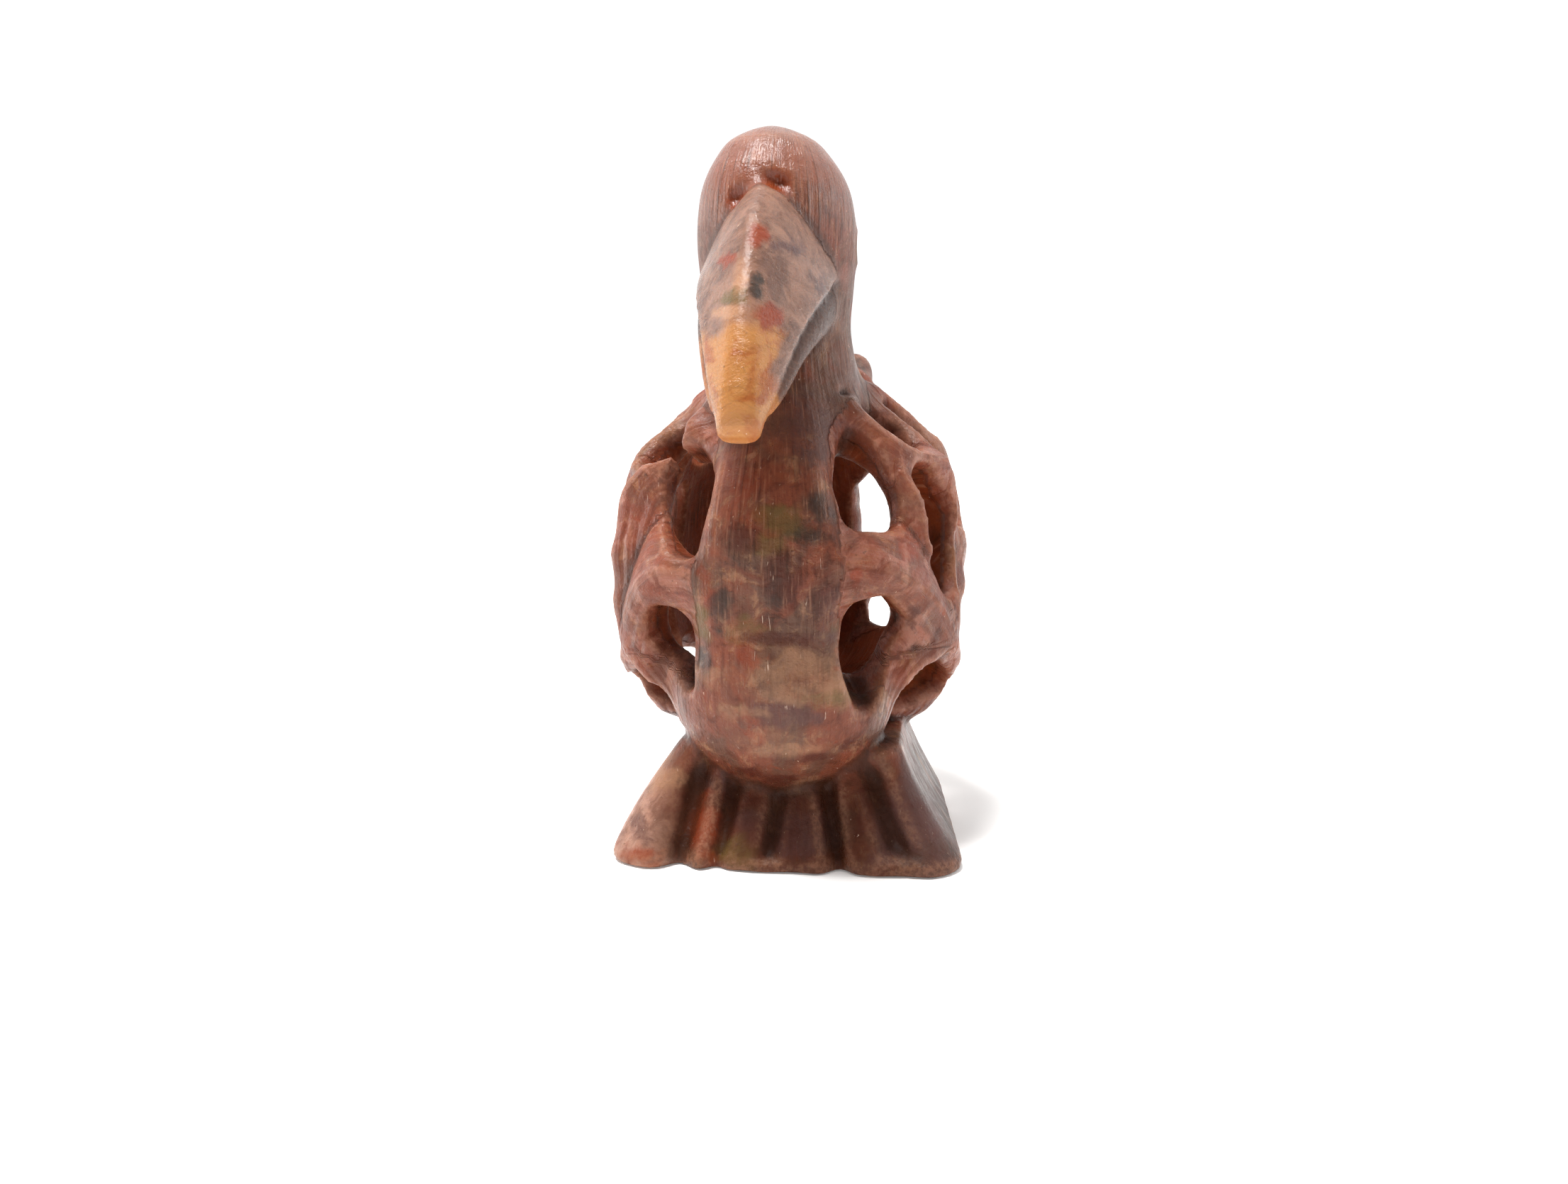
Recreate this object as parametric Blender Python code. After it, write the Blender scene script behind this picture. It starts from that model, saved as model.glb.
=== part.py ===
"""Openwork dodo, carved from one block of veined soapstone, standing on its own flared foot block.

Metres, +Z up. The bird faces -Y and the origin is the middle of the flat underside.
The whole carving is one solid: an egg-shaped body hollowed to a net of ribs, a neck and head with a long
hooked beak, a tail tuft, and a foot block with grooves between the toes.
"""

import math

import bmesh
import bpy
from mathutils import Vector

NAME = "dodo_carving"

# Foot block
FOOT_HEIGHT = 0.0145
FOOT_WIDTH = 0.0456
FOOT_LENGTH = 0.0470
FOOT_TOP_WIDTH = 0.0300
FOOT_TOP_LENGTH = 0.0360
FOOT_REAR_SHARE = 0.80  # width of the block at its rear, as a share of its front
FOOT_CORNER = 0.0060
FOOT_EDGE_HEIGHT = 0.0012
FOOT_OFFSET_X = 0.0018  # the foot sits a little to one side of the breast
FOOT_FORWARD = 0.0030  # the block's middle lies this far before the origin
FOOT_LEFT_SWELL = 0.0016  # the left flank of the block is fuller than the right
TOE_GROOVE_DEPTH = 0.0021

# Body: an egg with squared shoulders, hollow inside
BODY_WIDTH = 0.0472
BODY_LENGTH = 0.0590
BODY_HEIGHT = 0.0490
BODY_SETBACK = 0.0015  # the egg's middle lies this far behind the origin
BODY_SINK = 0.0023  # how deep the egg is bedded in the foot block
WALL = 0.0042
PLAN_POWER = 2.15  # 2 is an ellipse, more is squarer
TOP_POWER = 2.20
LOW_POWER = 3.05
RIM_BEVEL_DEPTH = 0.0022  # depth of the slope that leads into each opening
RIM_SPREAD = 1.12  # an opening is this much wider at the surface than inside
LEFT_DROP = 6.0  # degrees: the left side's openings are cut a little lower

# Head, neck and beak
NECK_WIDTH = 0.0186
HEAD_WIDTH = 0.0202
HEAD_RISE = 0.0307  # crown above the top of the egg
BEAK_LENGTH = 0.0245  # from forehead to tip, straight ahead
BEAK_DROP = 0.0263  # from the root of the ridge to the tip, straight down
BEAK_ROOT_WIDTH = 0.0176
BEAK_TIP_WIDTH = 0.0058
HEAD_LEAN = -0.0009  # the head sits slightly left of the body's middle
EYE_RADIUS = 0.0025
NOSTRIL_RADIUS = 0.0013

# Tail tuft and belly
TAIL_WIDTH = 0.0220
TAIL_LENGTH = 0.0170
TAIL_THICKNESS = 0.0135
TAIL_RISE = 0.0050  # top of the tuft above the top of the egg
BELLY_WIDTH = 0.0300

BODY_CENTRE = Vector((0.0, BODY_SETBACK, FOOT_HEIGHT - BODY_SINK + BODY_HEIGHT / 2))
BODY_TOP = BODY_CENTRE.z + BODY_HEIGHT / 2
BODY_FRONT = BODY_CENTRE.y - BODY_LENGTH / 2

# Openings of the right side, as directions from the egg's middle: degrees round from the breast, and degrees
# above the waist. The first pair of each is where its outer slope spreads from, the others are its corners.
OPENINGS = {
    "breast_high": [(16, 20), (17, 28), (16, 10), (26, 9), (36, 12), (33, 23), (26, 35), (20, 37)],
    "breast_low": [(16, -14), (17, -7), (26, -1), (35, -5), (35, -17), (32, -29), (21, -33), (17, -20)],
    "flank": [(60, 6), (43, 26), (47, 12), (53, 0), (60, -14), (68, -8), (73, 10), (68, 27), (54, 29)],
    "shoulder": [(54, 50), (38, 60), (36, 47), (44, 37), (60, 36), (72, 44), (70, 60), (52, 68)],
    "thigh": [(58, -40), (40, -32), (52, -29), (68, -34), (74, -41), (62, -50), (44, -47)],
    "side_high": [(91, 34), (91, 60), (83, 48), (79, 32), (84, 16), (91, 9), (98, 16), (103, 32), (99, 48)],
    "side_low": [(91, -27), (91, -7), (82, -15), (78, -27), (84, -40), (91, -46), (98, -40), (104, -27), (100, -15)],
    "rump_high": [(122, 6), (139, 24), (137, 12), (130, 0), (122, -14), (114, -8), (109, 10), (114, 27), (128, 29)],
    "back": [(128, 50), (144, 60), (146, 47), (138, 37), (122, 36), (110, 44), (112, 60), (130, 68)],
    "rump_low": [(119, -40), (132, -32), (122, -28), (110, -33), (107, -42), (115, -51), (130, -48)],
    "rear_high": [(160, 3), (162, 14), (162, -9), (152, -11), (144, -4), (144, 12), (150, 24), (157, 20)],
    "rear_low": [(158, -25), (161, -17), (158, -38), (149, -40), (140, -30), (142, -18), (151, -15)],
}
# The left side repeats them all, but for three at the rear that its carver placed otherwise.
LEFT_OPENINGS = {
    "rump_high": [(116, 6), (126, 24), (123, 10), (119, -1), (114, -14), (109, -8), (107, 10), (110, 28), (119, 31)],
    "rump_low": [(120, -46), (133, -38), (122, -35), (110, -39), (106, -46), (115, -56), (132, -54)],
    "rear_high": [(168, 3), (171, 14), (171, -9), (163, -11), (156, -4), (156, 12), (162, 22)],
}


def clear_objects():
    for thing in list(bpy.data.objects):
        bpy.data.objects.remove(thing, do_unlink=True)


def new_collection(name):
    group = bpy.data.collections.new(name)
    bpy.context.scene.collection.children.link(group)
    return group


def place_in(thing, group):
    for old in list(thing.users_collection):
        old.objects.unlink(thing)
    group.objects.link(thing)
    return thing


def loft(name, rings, group):
    """A closed solid through rings of equal point counts, with a shallow fan of faces over each end."""
    mesh = bmesh.new()
    rows = [[mesh.verts.new(point) for point in ring] for ring in rings]
    count = len(rings[0])
    for low, high in zip(rows, rows[1:]):
        for i in range(count):
            j = (i + 1) % count
            mesh.faces.new((low[i], low[j], high[j], high[i]))
    for ring in (rows[0], rows[-1]):
        hub = mesh.verts.new(sum((vertex.co for vertex in ring), Vector()) / count)
        for i in range(count):
            mesh.faces.new((ring[i], ring[(i + 1) % count], hub))
    bmesh.ops.recalc_face_normals(mesh, faces=mesh.faces)
    data = bpy.data.meshes.new(name)
    mesh.to_mesh(data)
    mesh.free()
    thing = bpy.data.objects.new(name, data)
    group.objects.link(thing)
    return thing


def sphere(name, centre, radii, segments, rings, group):
    bpy.ops.mesh.primitive_uv_sphere_add(segments=segments, ring_count=rings, radius=1.0, location=(0, 0, 0))
    thing = bpy.context.object
    thing.name = name
    for vertex in thing.data.vertices:
        vertex.co = Vector(centre) + Vector(a * b for a, b in zip(vertex.co, radii))
    return place_in(thing, group)


def direction(round_deg, up_deg):
    """Unit vector for an angle round from the breast (towards +X) and an angle above the waist."""
    a, e = math.radians(round_deg), math.radians(up_deg)
    return Vector((math.sin(a) * math.cos(e), -math.cos(a) * math.cos(e), math.sin(e)))


def egg_reach(way, inset=0.0):
    """Distance from the egg's middle to its surface along way, for the egg thinned by inset."""
    a, b, c = (s / 2 - inset for s in (BODY_WIDTH, BODY_LENGTH, BODY_HEIGHT))
    power = TOP_POWER if way.z > 0 else LOW_POWER
    plan = abs(way.x / a) ** PLAN_POWER + abs(way.y / b) ** PLAN_POWER
    return (plan ** (power / PLAN_POWER) + abs(way.z / c) ** power) ** (-1 / power)


def egg(name, inset, segments, rings, group):
    """The squared egg: a round sphere with each point moved along its own direction to the egg's surface."""
    thing = sphere(name, (0, 0, 0), (1, 1, 1), segments, rings, group)
    for vertex in thing.data.vertices:
        way = vertex.co.normalized()
        vertex.co = BODY_CENTRE + way * egg_reach(way, inset)
    return thing


def rounded(points):
    """One corner-cutting pass round a closed outline of (angle round, angle up) pairs."""
    out = []
    for here, after in zip(points, points[1:] + points[:1]):
        for share in (0.25, 0.75):
            out.append(tuple(p + (q - p) * share for p, q in zip(here, after)))
    return out


def opening_cutter(name, anchor, corners, group):
    """A funnel from the hollow outwards: straight through the wall, then spreading away from its anchor."""
    outline = rounded(corners)
    slope = RIM_BEVEL_DEPTH / (BODY_WIDTH / 2)
    rings = []
    for reach, spread in ((0.50, 1.0), (1 - slope, 1.0), (1.0, RIM_SPREAD), (1.6, RIM_SPREAD)):
        ring = []
        for point in outline:
            way = direction(*(a + (p - a) * spread for a, p in zip(anchor, point)))
            ring.append(BODY_CENTRE + way * egg_reach(way) * reach)
        rings.append(ring)
    return loft(name, rings, group)


def opening_cutters(group):
    """Every opening, cut on both sides, with those of the left side dropped most at the waist."""
    cutters = []
    for name, corners in OPENINGS.items():
        cutters.append(opening_cutter(f"cut_{name}_right", corners[0], corners[1:], group))
        turned = []
        for a, e in LEFT_OPENINGS.get(name, corners):
            turned.append((-a, e - LEFT_DROP * max(0.0, math.cos(math.radians(2 * e)))))
        cutters.append(opening_cutter(f"cut_{name}_left", turned[0], turned[1:], group))
    return cutters


def neck_and_head(group):
    """Flat rings stacked upwards: shoulders, neck, then the domed hood with its crown a little to the left."""
    # height above the egg's middle as a share, ring middle's Y, half width, half depth, lean
    crown = BODY_TOP + HEAD_RISE
    low = BODY_CENTRE.z + 0.22 * BODY_HEIGHT
    n, h = NECK_WIDTH / 2, HEAD_WIDTH / 2
    stations = (
        (0.00, -0.135, 1.62 * n, 1.70 * n, 0.0),
        (0.12, -0.135, 1.48 * n, 1.58 * n, 0.0),
        (0.22, -0.130, 1.22 * n, 1.40 * n, 0.2),
        (0.32, -0.125, 1.05 * n, 1.24 * n, 0.5),
        (0.43, -0.125, 1.00 * n, 1.14 * n, 0.8),
        (0.54, -0.140, 0.96 * h, 1.12 * h, 1.0),
        (0.65, -0.158, 1.00 * h, 1.20 * h, 1.0),
        (0.75, -0.166, 0.98 * h, 1.22 * h, 1.0),
        (0.83, -0.168, 0.90 * h, 1.14 * h, 1.1),
        (0.90, -0.166, 0.74 * h, 0.96 * h, 1.3),
        (0.955, -0.164, 0.52 * h, 0.70 * h, 1.5),
        (1.00, -0.162, 0.20 * h, 0.28 * h, 1.7),
    )
    count = 30
    rings = []
    for share, back, half_width, half_depth, lean in stations:
        middle = Vector((lean * HEAD_LEAN, BODY_CENTRE.y + back * BODY_LENGTH, low + share * (crown - low)))
        ring = []
        for i in range(count):
            turn = 2 * math.pi * i / count
            ring.append(middle + Vector((half_width * math.cos(turn), half_depth * math.sin(turn), 0)))
        rings.append(ring)
    return loft("neck_and_head", rings, group)


def beak_root():
    """Where the beak's ridge leaves the forehead."""
    return Vector((HEAD_LEAN, BODY_CENTRE.y - 0.348 * BODY_LENGTH, BODY_TOP + 0.688 * HEAD_RISE))


def beak(group):
    """Roof-shaped sections along an arched ridge, with the slit of the mouth cut into both sides."""
    root = beak_root()
    # share of the way ahead, share of the drop, share of the width from tip to root, height of the side
    stations = (
        (-0.34, -0.10, 1.02, 0.0150),
        (0.00, 0.00, 1.00, 0.0140),
        (0.20, 0.03, 0.97, 0.0135),
        (0.40, 0.12, 0.84, 0.0127),
        (0.58, 0.27, 0.64, 0.0112),
        (0.76, 0.48, 0.42, 0.0088),
        (0.90, 0.73, 0.20, 0.0058),
        (0.985, 0.95, 0.02, 0.0032),
        (1.00, 1.00, -0.05, 0.0022),
    )
    lip, slit = 0.0011, 0.0014
    rings = []
    for ahead, drop, width_share, side in stations:
        top = root + Vector((0, -ahead * BEAK_LENGTH, -drop * BEAK_DROP))
        half = (BEAK_TIP_WIDTH + (BEAK_ROOT_WIDTH - BEAK_TIP_WIDTH) * width_share) / 2
        flat = BEAK_TIP_WIDTH * (0.10 + 0.30 * max(0.0, drop))
        lean_back = 0.45 * side  # lower points of a section lie behind its ridge
        right = (
            (flat, 0.0),
            (0.62 * half + 0.2 * flat, 0.36),
            (half, 0.70),
            (half - slit, 0.78),
            (half - 0.35 * lip, 0.88),
            (0.66 * half, 1.18),
        )
        outline = [(x, d) for x, d in right] + [(-x, d) for x, d in reversed(right)]
        rings.append([top + Vector((x, d * lean_back, -d * side)) for x, d in outline])
    return loft("beak", rings, group)


def tail(group):
    """A tuft that tips upwards at the rear, fluted from its root like curled feathers."""
    thing = sphere("tail", (0, 0, 0), (1, 1, 1), 24, 10, group)
    centre = Vector((0, BODY_CENTRE.y + BODY_LENGTH / 2 - 0.30 * TAIL_LENGTH, BODY_TOP + TAIL_RISE - TAIL_THICKNESS / 2))
    half = Vector((TAIL_WIDTH / 2, TAIL_LENGTH / 2, TAIL_THICKNESS / 2))
    flutes = 5
    for vertex in thing.data.vertices:
        way = vertex.co.normalized()
        fan = math.atan2(way.x, max(0.15, way.y + 0.6))
        dent = 1 - 0.08 * (0.5 - 0.5 * math.cos(2 * flutes * fan)) * max(0.0, way.y + 0.5)
        tip_up = 0.28 * half.y * (way.y + 1) ** 2 / 4
        vertex.co = centre + Vector((way.x * half.x, way.y * half.y, way.z * half.z)) * dent
        vertex.co.z += tip_up - 0.0014
    return thing


def belly(group):
    """The bulge of the breast that hangs over the toes."""
    depth = 0.45 * BODY_LENGTH
    bottom = BODY_CENTRE.z - BODY_HEIGHT / 2
    centre = Vector((0.0008, BODY_FRONT + 0.48 * depth, bottom + 0.25 * BODY_HEIGHT))
    return sphere("belly", centre, (BELLY_WIDTH / 2, depth / 2, 0.305 * BODY_HEIGHT), 26, 14, group)


# Toe grooves: place on the sole, place at the top of the block, and half width, all as shares of the block's
# half width, then depth as a share of TOE_GROOVE_DEPTH
TOE_GROOVES = (
    (-0.57, -0.49, 0.070, 1.1),
    (-0.37, -0.34, 0.045, 0.6),
    (-0.14, -0.15, 0.050, 0.7),
    (0.16, 0.12, 0.055, 0.9),
    (0.50, 0.36, 0.095, 1.3),
)


def toe_columns():
    """Pairs of (sole, top) places with a depth, left to right: each groove's two lips and its floor."""
    columns = [(-0.70, -0.66, 0.0)]
    for sole, top, half_width, depth in TOE_GROOVES:
        for step, share in ((-1, 0.0), (-0.45, 0.6), (0, 1.0), (0.45, 0.6), (1, 0.0)):
            columns.append((sole + step * half_width, top + step * half_width * 0.8, share * depth))
    return columns


def foot_outline(width, length, corner, up):
    """A rounded oblong, counter-clockwise from the left of the front edge, whose front carries the grooves."""
    a, b = width / 2 - corner, length / 2 - corner
    fade = 1 - 0.75 * max(0.0, up - 0.7) / 0.3
    points = []
    for sole, top, depth in toe_columns():
        x = (sole + (top - sole) * up) * width / 2
        points.append((x, -b - corner + depth * TOE_GROOVE_DEPTH * fade))
    for x, y, start, steps in ((a, -b, -90, 6), (a, b, 0, 5), (-a, b, 90, 5), (-a, -b, 180, 6)):
        for i in range(steps + 1):
            turn = math.radians(start + 90 * i / steps)
            points.append((x + corner * math.cos(turn), y + corner * math.sin(turn)))
    return points


def foot(group):
    """A stack of oblongs that narrows upwards in a hollow curve, its front grooved between the toes."""
    edge = FOOT_EDGE_HEIGHT / FOOT_HEIGHT
    rings = []
    for up in (0.0, edge, 0.24, 0.45, 0.72, 1.0):
        swell = 0.985 if up == 0 else 1.0
        flare = (1 - max(0.0, up - edge) / (1 - edge)) ** 1.35
        width = (FOOT_TOP_WIDTH + (FOOT_WIDTH - FOOT_TOP_WIDTH) * flare) * swell
        length = (FOOT_TOP_LENGTH + (FOOT_LENGTH - FOOT_TOP_LENGTH) * flare) * swell
        corner = FOOT_CORNER * width / FOOT_WIDTH
        ring = []
        for x, y in foot_outline(width, length, corner, up):
            narrow = 1 - (1 - FOOT_REAR_SHARE) * (0.5 + y / length) * (1 - 0.6 * up)
            fuller = FOOT_LEFT_SWELL * 4 * up * (1 - up) * min(0.0, 2 * x / width)
            ring.append(Vector((x * narrow + fuller + FOOT_OFFSET_X, y - FOOT_FORWARD, up * FOOT_HEIGHT)))
        rings.append(ring)
    return loft("foot", rings, group)


def eyes(group):
    """A low boss with a dimple in it on each side of the head, and the cutters for the dimples."""
    root = beak_root()
    bosses, dimples = [], []
    for side in (-1, 1):
        centre = Vector((HEAD_LEAN + side * 0.88 * HEAD_WIDTH / 2, root.y + 0.0112, root.z - 0.0052))
        bosses.append(sphere(f"eye_{side}", centre, (0.0016, EYE_RADIUS, EYE_RADIUS), 14, 8, group))
        pit = centre + Vector((side * 0.0018, 0, 0))
        dimples.append(sphere(f"cut_eye_{side}", pit, (0.0011, EYE_RADIUS * 0.5, EYE_RADIUS * 0.5), 12, 6, group))
    return bosses, dimples


def nostrils(group):
    """Two pits at the root of the beak, one on each side of the ridge."""
    root = beak_root()
    pits = []
    for side, size in ((-1, 0.8), (1, 1.1)):
        centre = root + Vector((side * 0.0026, -0.0009, 0.0009))
        radii = (NOSTRIL_RADIUS * size * 1.2, NOSTRIL_RADIUS, NOSTRIL_RADIUS * size)
        pits.append(sphere(f"cut_nostril_{side}", centre, radii, 12, 6, group))
    return pits


def combine(target, others, operation):
    """Joins to or cuts from target each of the others, and removes those that were joined."""
    bpy.context.view_layer.objects.active = target
    for other in others:
        modifier = target.modifiers.new(operation.lower(), "BOOLEAN")
        modifier.operation = operation
        modifier.solver = "EXACT"
        modifier.object = other
        bpy.ops.object.modifier_apply(modifier=modifier.name)
    for other in others:
        if operation == "UNION":
            bpy.data.objects.remove(other, do_unlink=True)
        else:
            other.hide_render = True
            other.display_type = "WIRE"


def soapstone():
    material = bpy.data.materials.new("soapstone")
    material.use_nodes = True
    shader = material.node_tree.nodes["Principled BSDF"]
    shader.inputs["Base Color"].default_value = (0.27, 0.105, 0.065, 1)
    shader.inputs["Roughness"].default_value = 0.38
    shader.inputs["Metallic"].default_value = 0.0
    return material


def tidy_mesh(thing):
    """Welds the slivers that the joins leave and shades the smooth stretches smooth."""
    mesh = bmesh.new()
    mesh.from_mesh(thing.data)
    bmesh.ops.remove_doubles(mesh, verts=mesh.verts, dist=0.00002)
    bmesh.ops.dissolve_degenerate(mesh, edges=mesh.edges, dist=0.00002)
    mesh.to_mesh(thing.data)
    mesh.free()
    thing.data.shade_smooth()
    thing.data.set_sharp_from_angle(angle=math.radians(35))


def main():
    clear_objects()
    parts = new_collection(NAME)
    cutters = new_collection("cutters")
    carving = egg(NAME, 0.0, 36, 22, parts)
    bosses, dimples = eyes(cutters)
    combine(carving, [belly(parts), neck_and_head(parts), *bosses, tail(parts), beak(parts)], "UNION")
    combine(carving, dimples + nostrils(cutters), "DIFFERENCE")
    combine(carving, [egg("cut_hollow", WALL, 24, 14, cutters)], "DIFFERENCE")
    combine(carving, opening_cutters(cutters), "DIFFERENCE")
    combine(carving, [foot(parts)], "UNION")
    tidy_mesh(carving)
    carving.data.materials.clear()
    carving.data.materials.append(soapstone())


main()
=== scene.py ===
import math
import time

import bpy
import numpy as np
import openvdb as vdb
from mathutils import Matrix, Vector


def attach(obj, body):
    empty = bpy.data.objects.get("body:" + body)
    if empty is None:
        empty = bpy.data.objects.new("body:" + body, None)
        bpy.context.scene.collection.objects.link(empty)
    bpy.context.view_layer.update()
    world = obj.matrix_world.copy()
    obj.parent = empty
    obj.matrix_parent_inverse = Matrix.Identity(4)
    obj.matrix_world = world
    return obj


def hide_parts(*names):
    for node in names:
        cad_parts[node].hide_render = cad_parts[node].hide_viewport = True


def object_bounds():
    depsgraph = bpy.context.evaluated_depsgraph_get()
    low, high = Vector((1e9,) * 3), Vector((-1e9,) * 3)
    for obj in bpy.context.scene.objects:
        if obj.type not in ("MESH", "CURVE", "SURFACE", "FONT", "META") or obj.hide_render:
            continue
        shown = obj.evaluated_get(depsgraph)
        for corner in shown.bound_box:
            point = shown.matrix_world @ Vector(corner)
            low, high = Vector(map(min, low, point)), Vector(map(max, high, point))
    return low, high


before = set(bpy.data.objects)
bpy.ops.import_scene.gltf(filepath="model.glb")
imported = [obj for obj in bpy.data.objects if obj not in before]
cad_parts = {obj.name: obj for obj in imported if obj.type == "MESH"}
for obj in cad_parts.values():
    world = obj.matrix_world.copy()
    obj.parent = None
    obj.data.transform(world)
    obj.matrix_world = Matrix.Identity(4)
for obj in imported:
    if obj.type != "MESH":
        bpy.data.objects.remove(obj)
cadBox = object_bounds()
startTime = time.time()
print("frame loaded", [[round(v * 1000, 1) for v in corner] for corner in cadBox])

# All shaping below is in millimetres, in the bird's own frame: -Y is the way the beak points, +Z is up.
# A "gap" is how far a point lies outside a form: under 0 inside the stone, 0 on its skin, over 0 in the air.

carving = {
    "cell": 0.57,         # side of the smallest cube the stone is worked in
    "low": (-25.0, -45.0, -1.5),
    "high": (26.0, 36.0, 94.0),
    "air": 6.0,           # gap of the cubes that no form reaches
    "wear": 0.17,         # how much every edge has been rubbed round, 0 to 0.3
    "inside": 0.15,       # how far the widest rib stays inside the solid's own box
    "insideRound": 0.5,
}


def done(stage):
    print(stage, round(time.time() - startTime, 1))


def softLow(a, b, soft):  # the lower of a and b, with the corner between them rounded over soft
    h = np.clip(0.5 + 0.5 * (b - a) / soft, 0, 1)
    return b + (a - b) * h - soft * h * (1 - h)


def softHigh(a, b, soft):  # the higher of a and b, rounded the same way
    return -softLow(-a, -b, soft)


def ramp(x, start, end):  # 0 before start, 1 after end, an S curve between
    t = np.clip((x - start) / (end - start), 0, 1)
    return t * t * (3 - 2 * t)


# smooth line through the values given at some places: a cubic between each two, with matched slopes
def curve(x, places, values):
    places, values = np.array(places, dtype=float), np.array(values, dtype=float)
    slopes = np.gradient(values, places)
    x = np.clip(x, places[0], places[-1])
    k = np.clip(np.searchsorted(places, x, side="right") - 1, 0, len(places) - 2)
    span = places[k + 1] - places[k]
    t = (x - places[k]) / span
    return (values[k] * (2 * t ** 3 - 3 * t ** 2 + 1) + values[k + 1] * (3 * t ** 2 - 2 * t ** 3)
            + span * (slopes[k] * (t ** 3 - 2 * t ** 2 + t) + slopes[k + 1] * (t ** 3 - t ** 2)))


def ripple(x, y, z, size, seed):  # smooth bumps about size across, from -1 to 1: six crossed sine waves, summed
    total = 0.0
    for k in range(6):
        a, b = 2.4 * k + seed, 1.7 * k + 0.6 * seed
        turn = math.cos(a) * math.cos(b) * x + math.sin(a) * math.cos(b) * y + math.sin(b) * z
        turn = turn * (2 + 0.35 * k) / size
        total = total + np.sin(turn * 1.8 + 1.3 * k * k + seed)
    return total / 3.2


# body
body = {
    "middle": (0.0, 1.5, 36.7),
    "half": (23.5, 29.4, 24.5),
    "planPower": 2.15,    # 2 is an ellipse from above, more is squarer
    "topPower": 2.2,
    "lowPower": 3.05,
    "slant": 0.94,        # allows for the skin's slant to the line from the middle
    "ribDepth": 5.0,      # from the skin of the net to the hollow inside it
    "breastDepth": 6.4,
    "breastEdge": (38, 16),         # degrees around where the wall starts to thicken, and is full
    "hollowRound": 1.0,
    "ribRound": 0.35,
    "taper": 0.05,        # how much the ribs narrow towards the hollow
    "taperTo": 8.0,       # mm below the skin
}
belly = {"middle": (0.9, -15.0, 23.0), "half": (14.4, 13.4, 15.4), "size": 13.5, "join": 1.5}


def eggReach(wx, wy, wz):  # distance from the middle to the squared egg's skin along a unit direction
    a, b, c = body["half"]
    n = body["planPower"]
    m = np.where(wz > 0, body["topPower"], body["lowPower"])
    plan = (np.abs(wx) / a) ** n + (np.abs(wy) / b) ** n
    return (plan ** (m / n) + (np.abs(wz) / c) ** m) ** (-1 / m)


def aim(around, up):  # unit direction from degrees around (0 at the breast, towards +X) and degrees up
    a, e = np.radians(around), np.radians(up)
    return np.sin(a) * np.cos(e), -np.cos(a) * np.cos(e), np.sin(e)


# degrees around and up of each point as seen from the body's middle, its distance and its direction
def fromMiddle(x, y, z):
    cx, cy, cz = body["middle"]
    dx, dy, dz = x - cx, y - cy, z - cz
    r = np.sqrt(dx * dx + dy * dy + dz * dz) + 1e-6
    around = np.degrees(np.arctan2(dx, -dy))
    up = np.degrees(np.arcsin(np.clip(dz / r, -1, 1)))
    return around, up, r, (dx / r, dy / r, dz / r)


# outline of each opening on the side of +X: degrees around, degrees up
openings = {
    "breastHigh": ((27, 44), (22.5, 37), (21, 28), (20.5, 19), (22, 14), (30, 13), (38.5, 14), (40, 18),
                   (39, 23), (36, 30), (31, 38)),
    "breastLow": ((21, -12), (24, -8), (30, -7), (36, -11), (39, -15), (35, -18), (32, -22), (31, -28),
                  (25, -31), (21, -25), (19.5, -17)),
    "flank": ((49, 28), (60, 30), (68, 24), (70, 12), (67, 0), (61, -10), (56, -4), (53, 7), (51, 18)),
    "shoulder": ((40, 60), (37, 49), (46, 39), (60, 36), (72, 43), (70, 60), (52, 68)),
    "thigh": ((44, -30), (40, -40), (46, -49), (60, -51), (73, -43), (74, -37), (64, -32), (52, -28)),
    "sideHigh": ((91, 60), (83, 48), (79, 32), (84, 16), (91, 9), (98, 16), (103, 32), (99, 48)),
    "sideLow": ((91, -7), (82, -15), (78, -27), (84, -40), (91, -46), (98, -40), (104, -27), (100, -15)),
    "rumpHigh": ((139, 24), (137, 12), (130, 0), (122, -14), (114, -8), (109, 10), (114, 27), (128, 29)),
    "back": ((144, 60), (146, 47), (138, 37), (122, 36), (110, 44), (112, 60), (130, 68)),
    "rumpLow": ((132, -32), (122, -28), (110, -33), (107, -42), (115, -51), (130, -48)),
    "rearHigh": ((162, 14), (162, -9), (152, -11), (144, -4), (144, 12), (150, 24), (157, 20)),
    "rearLow": ((155.5, -20), (155, -26), (149, -30), (140, -28), (141, -18), (150, -16)),
}
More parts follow.
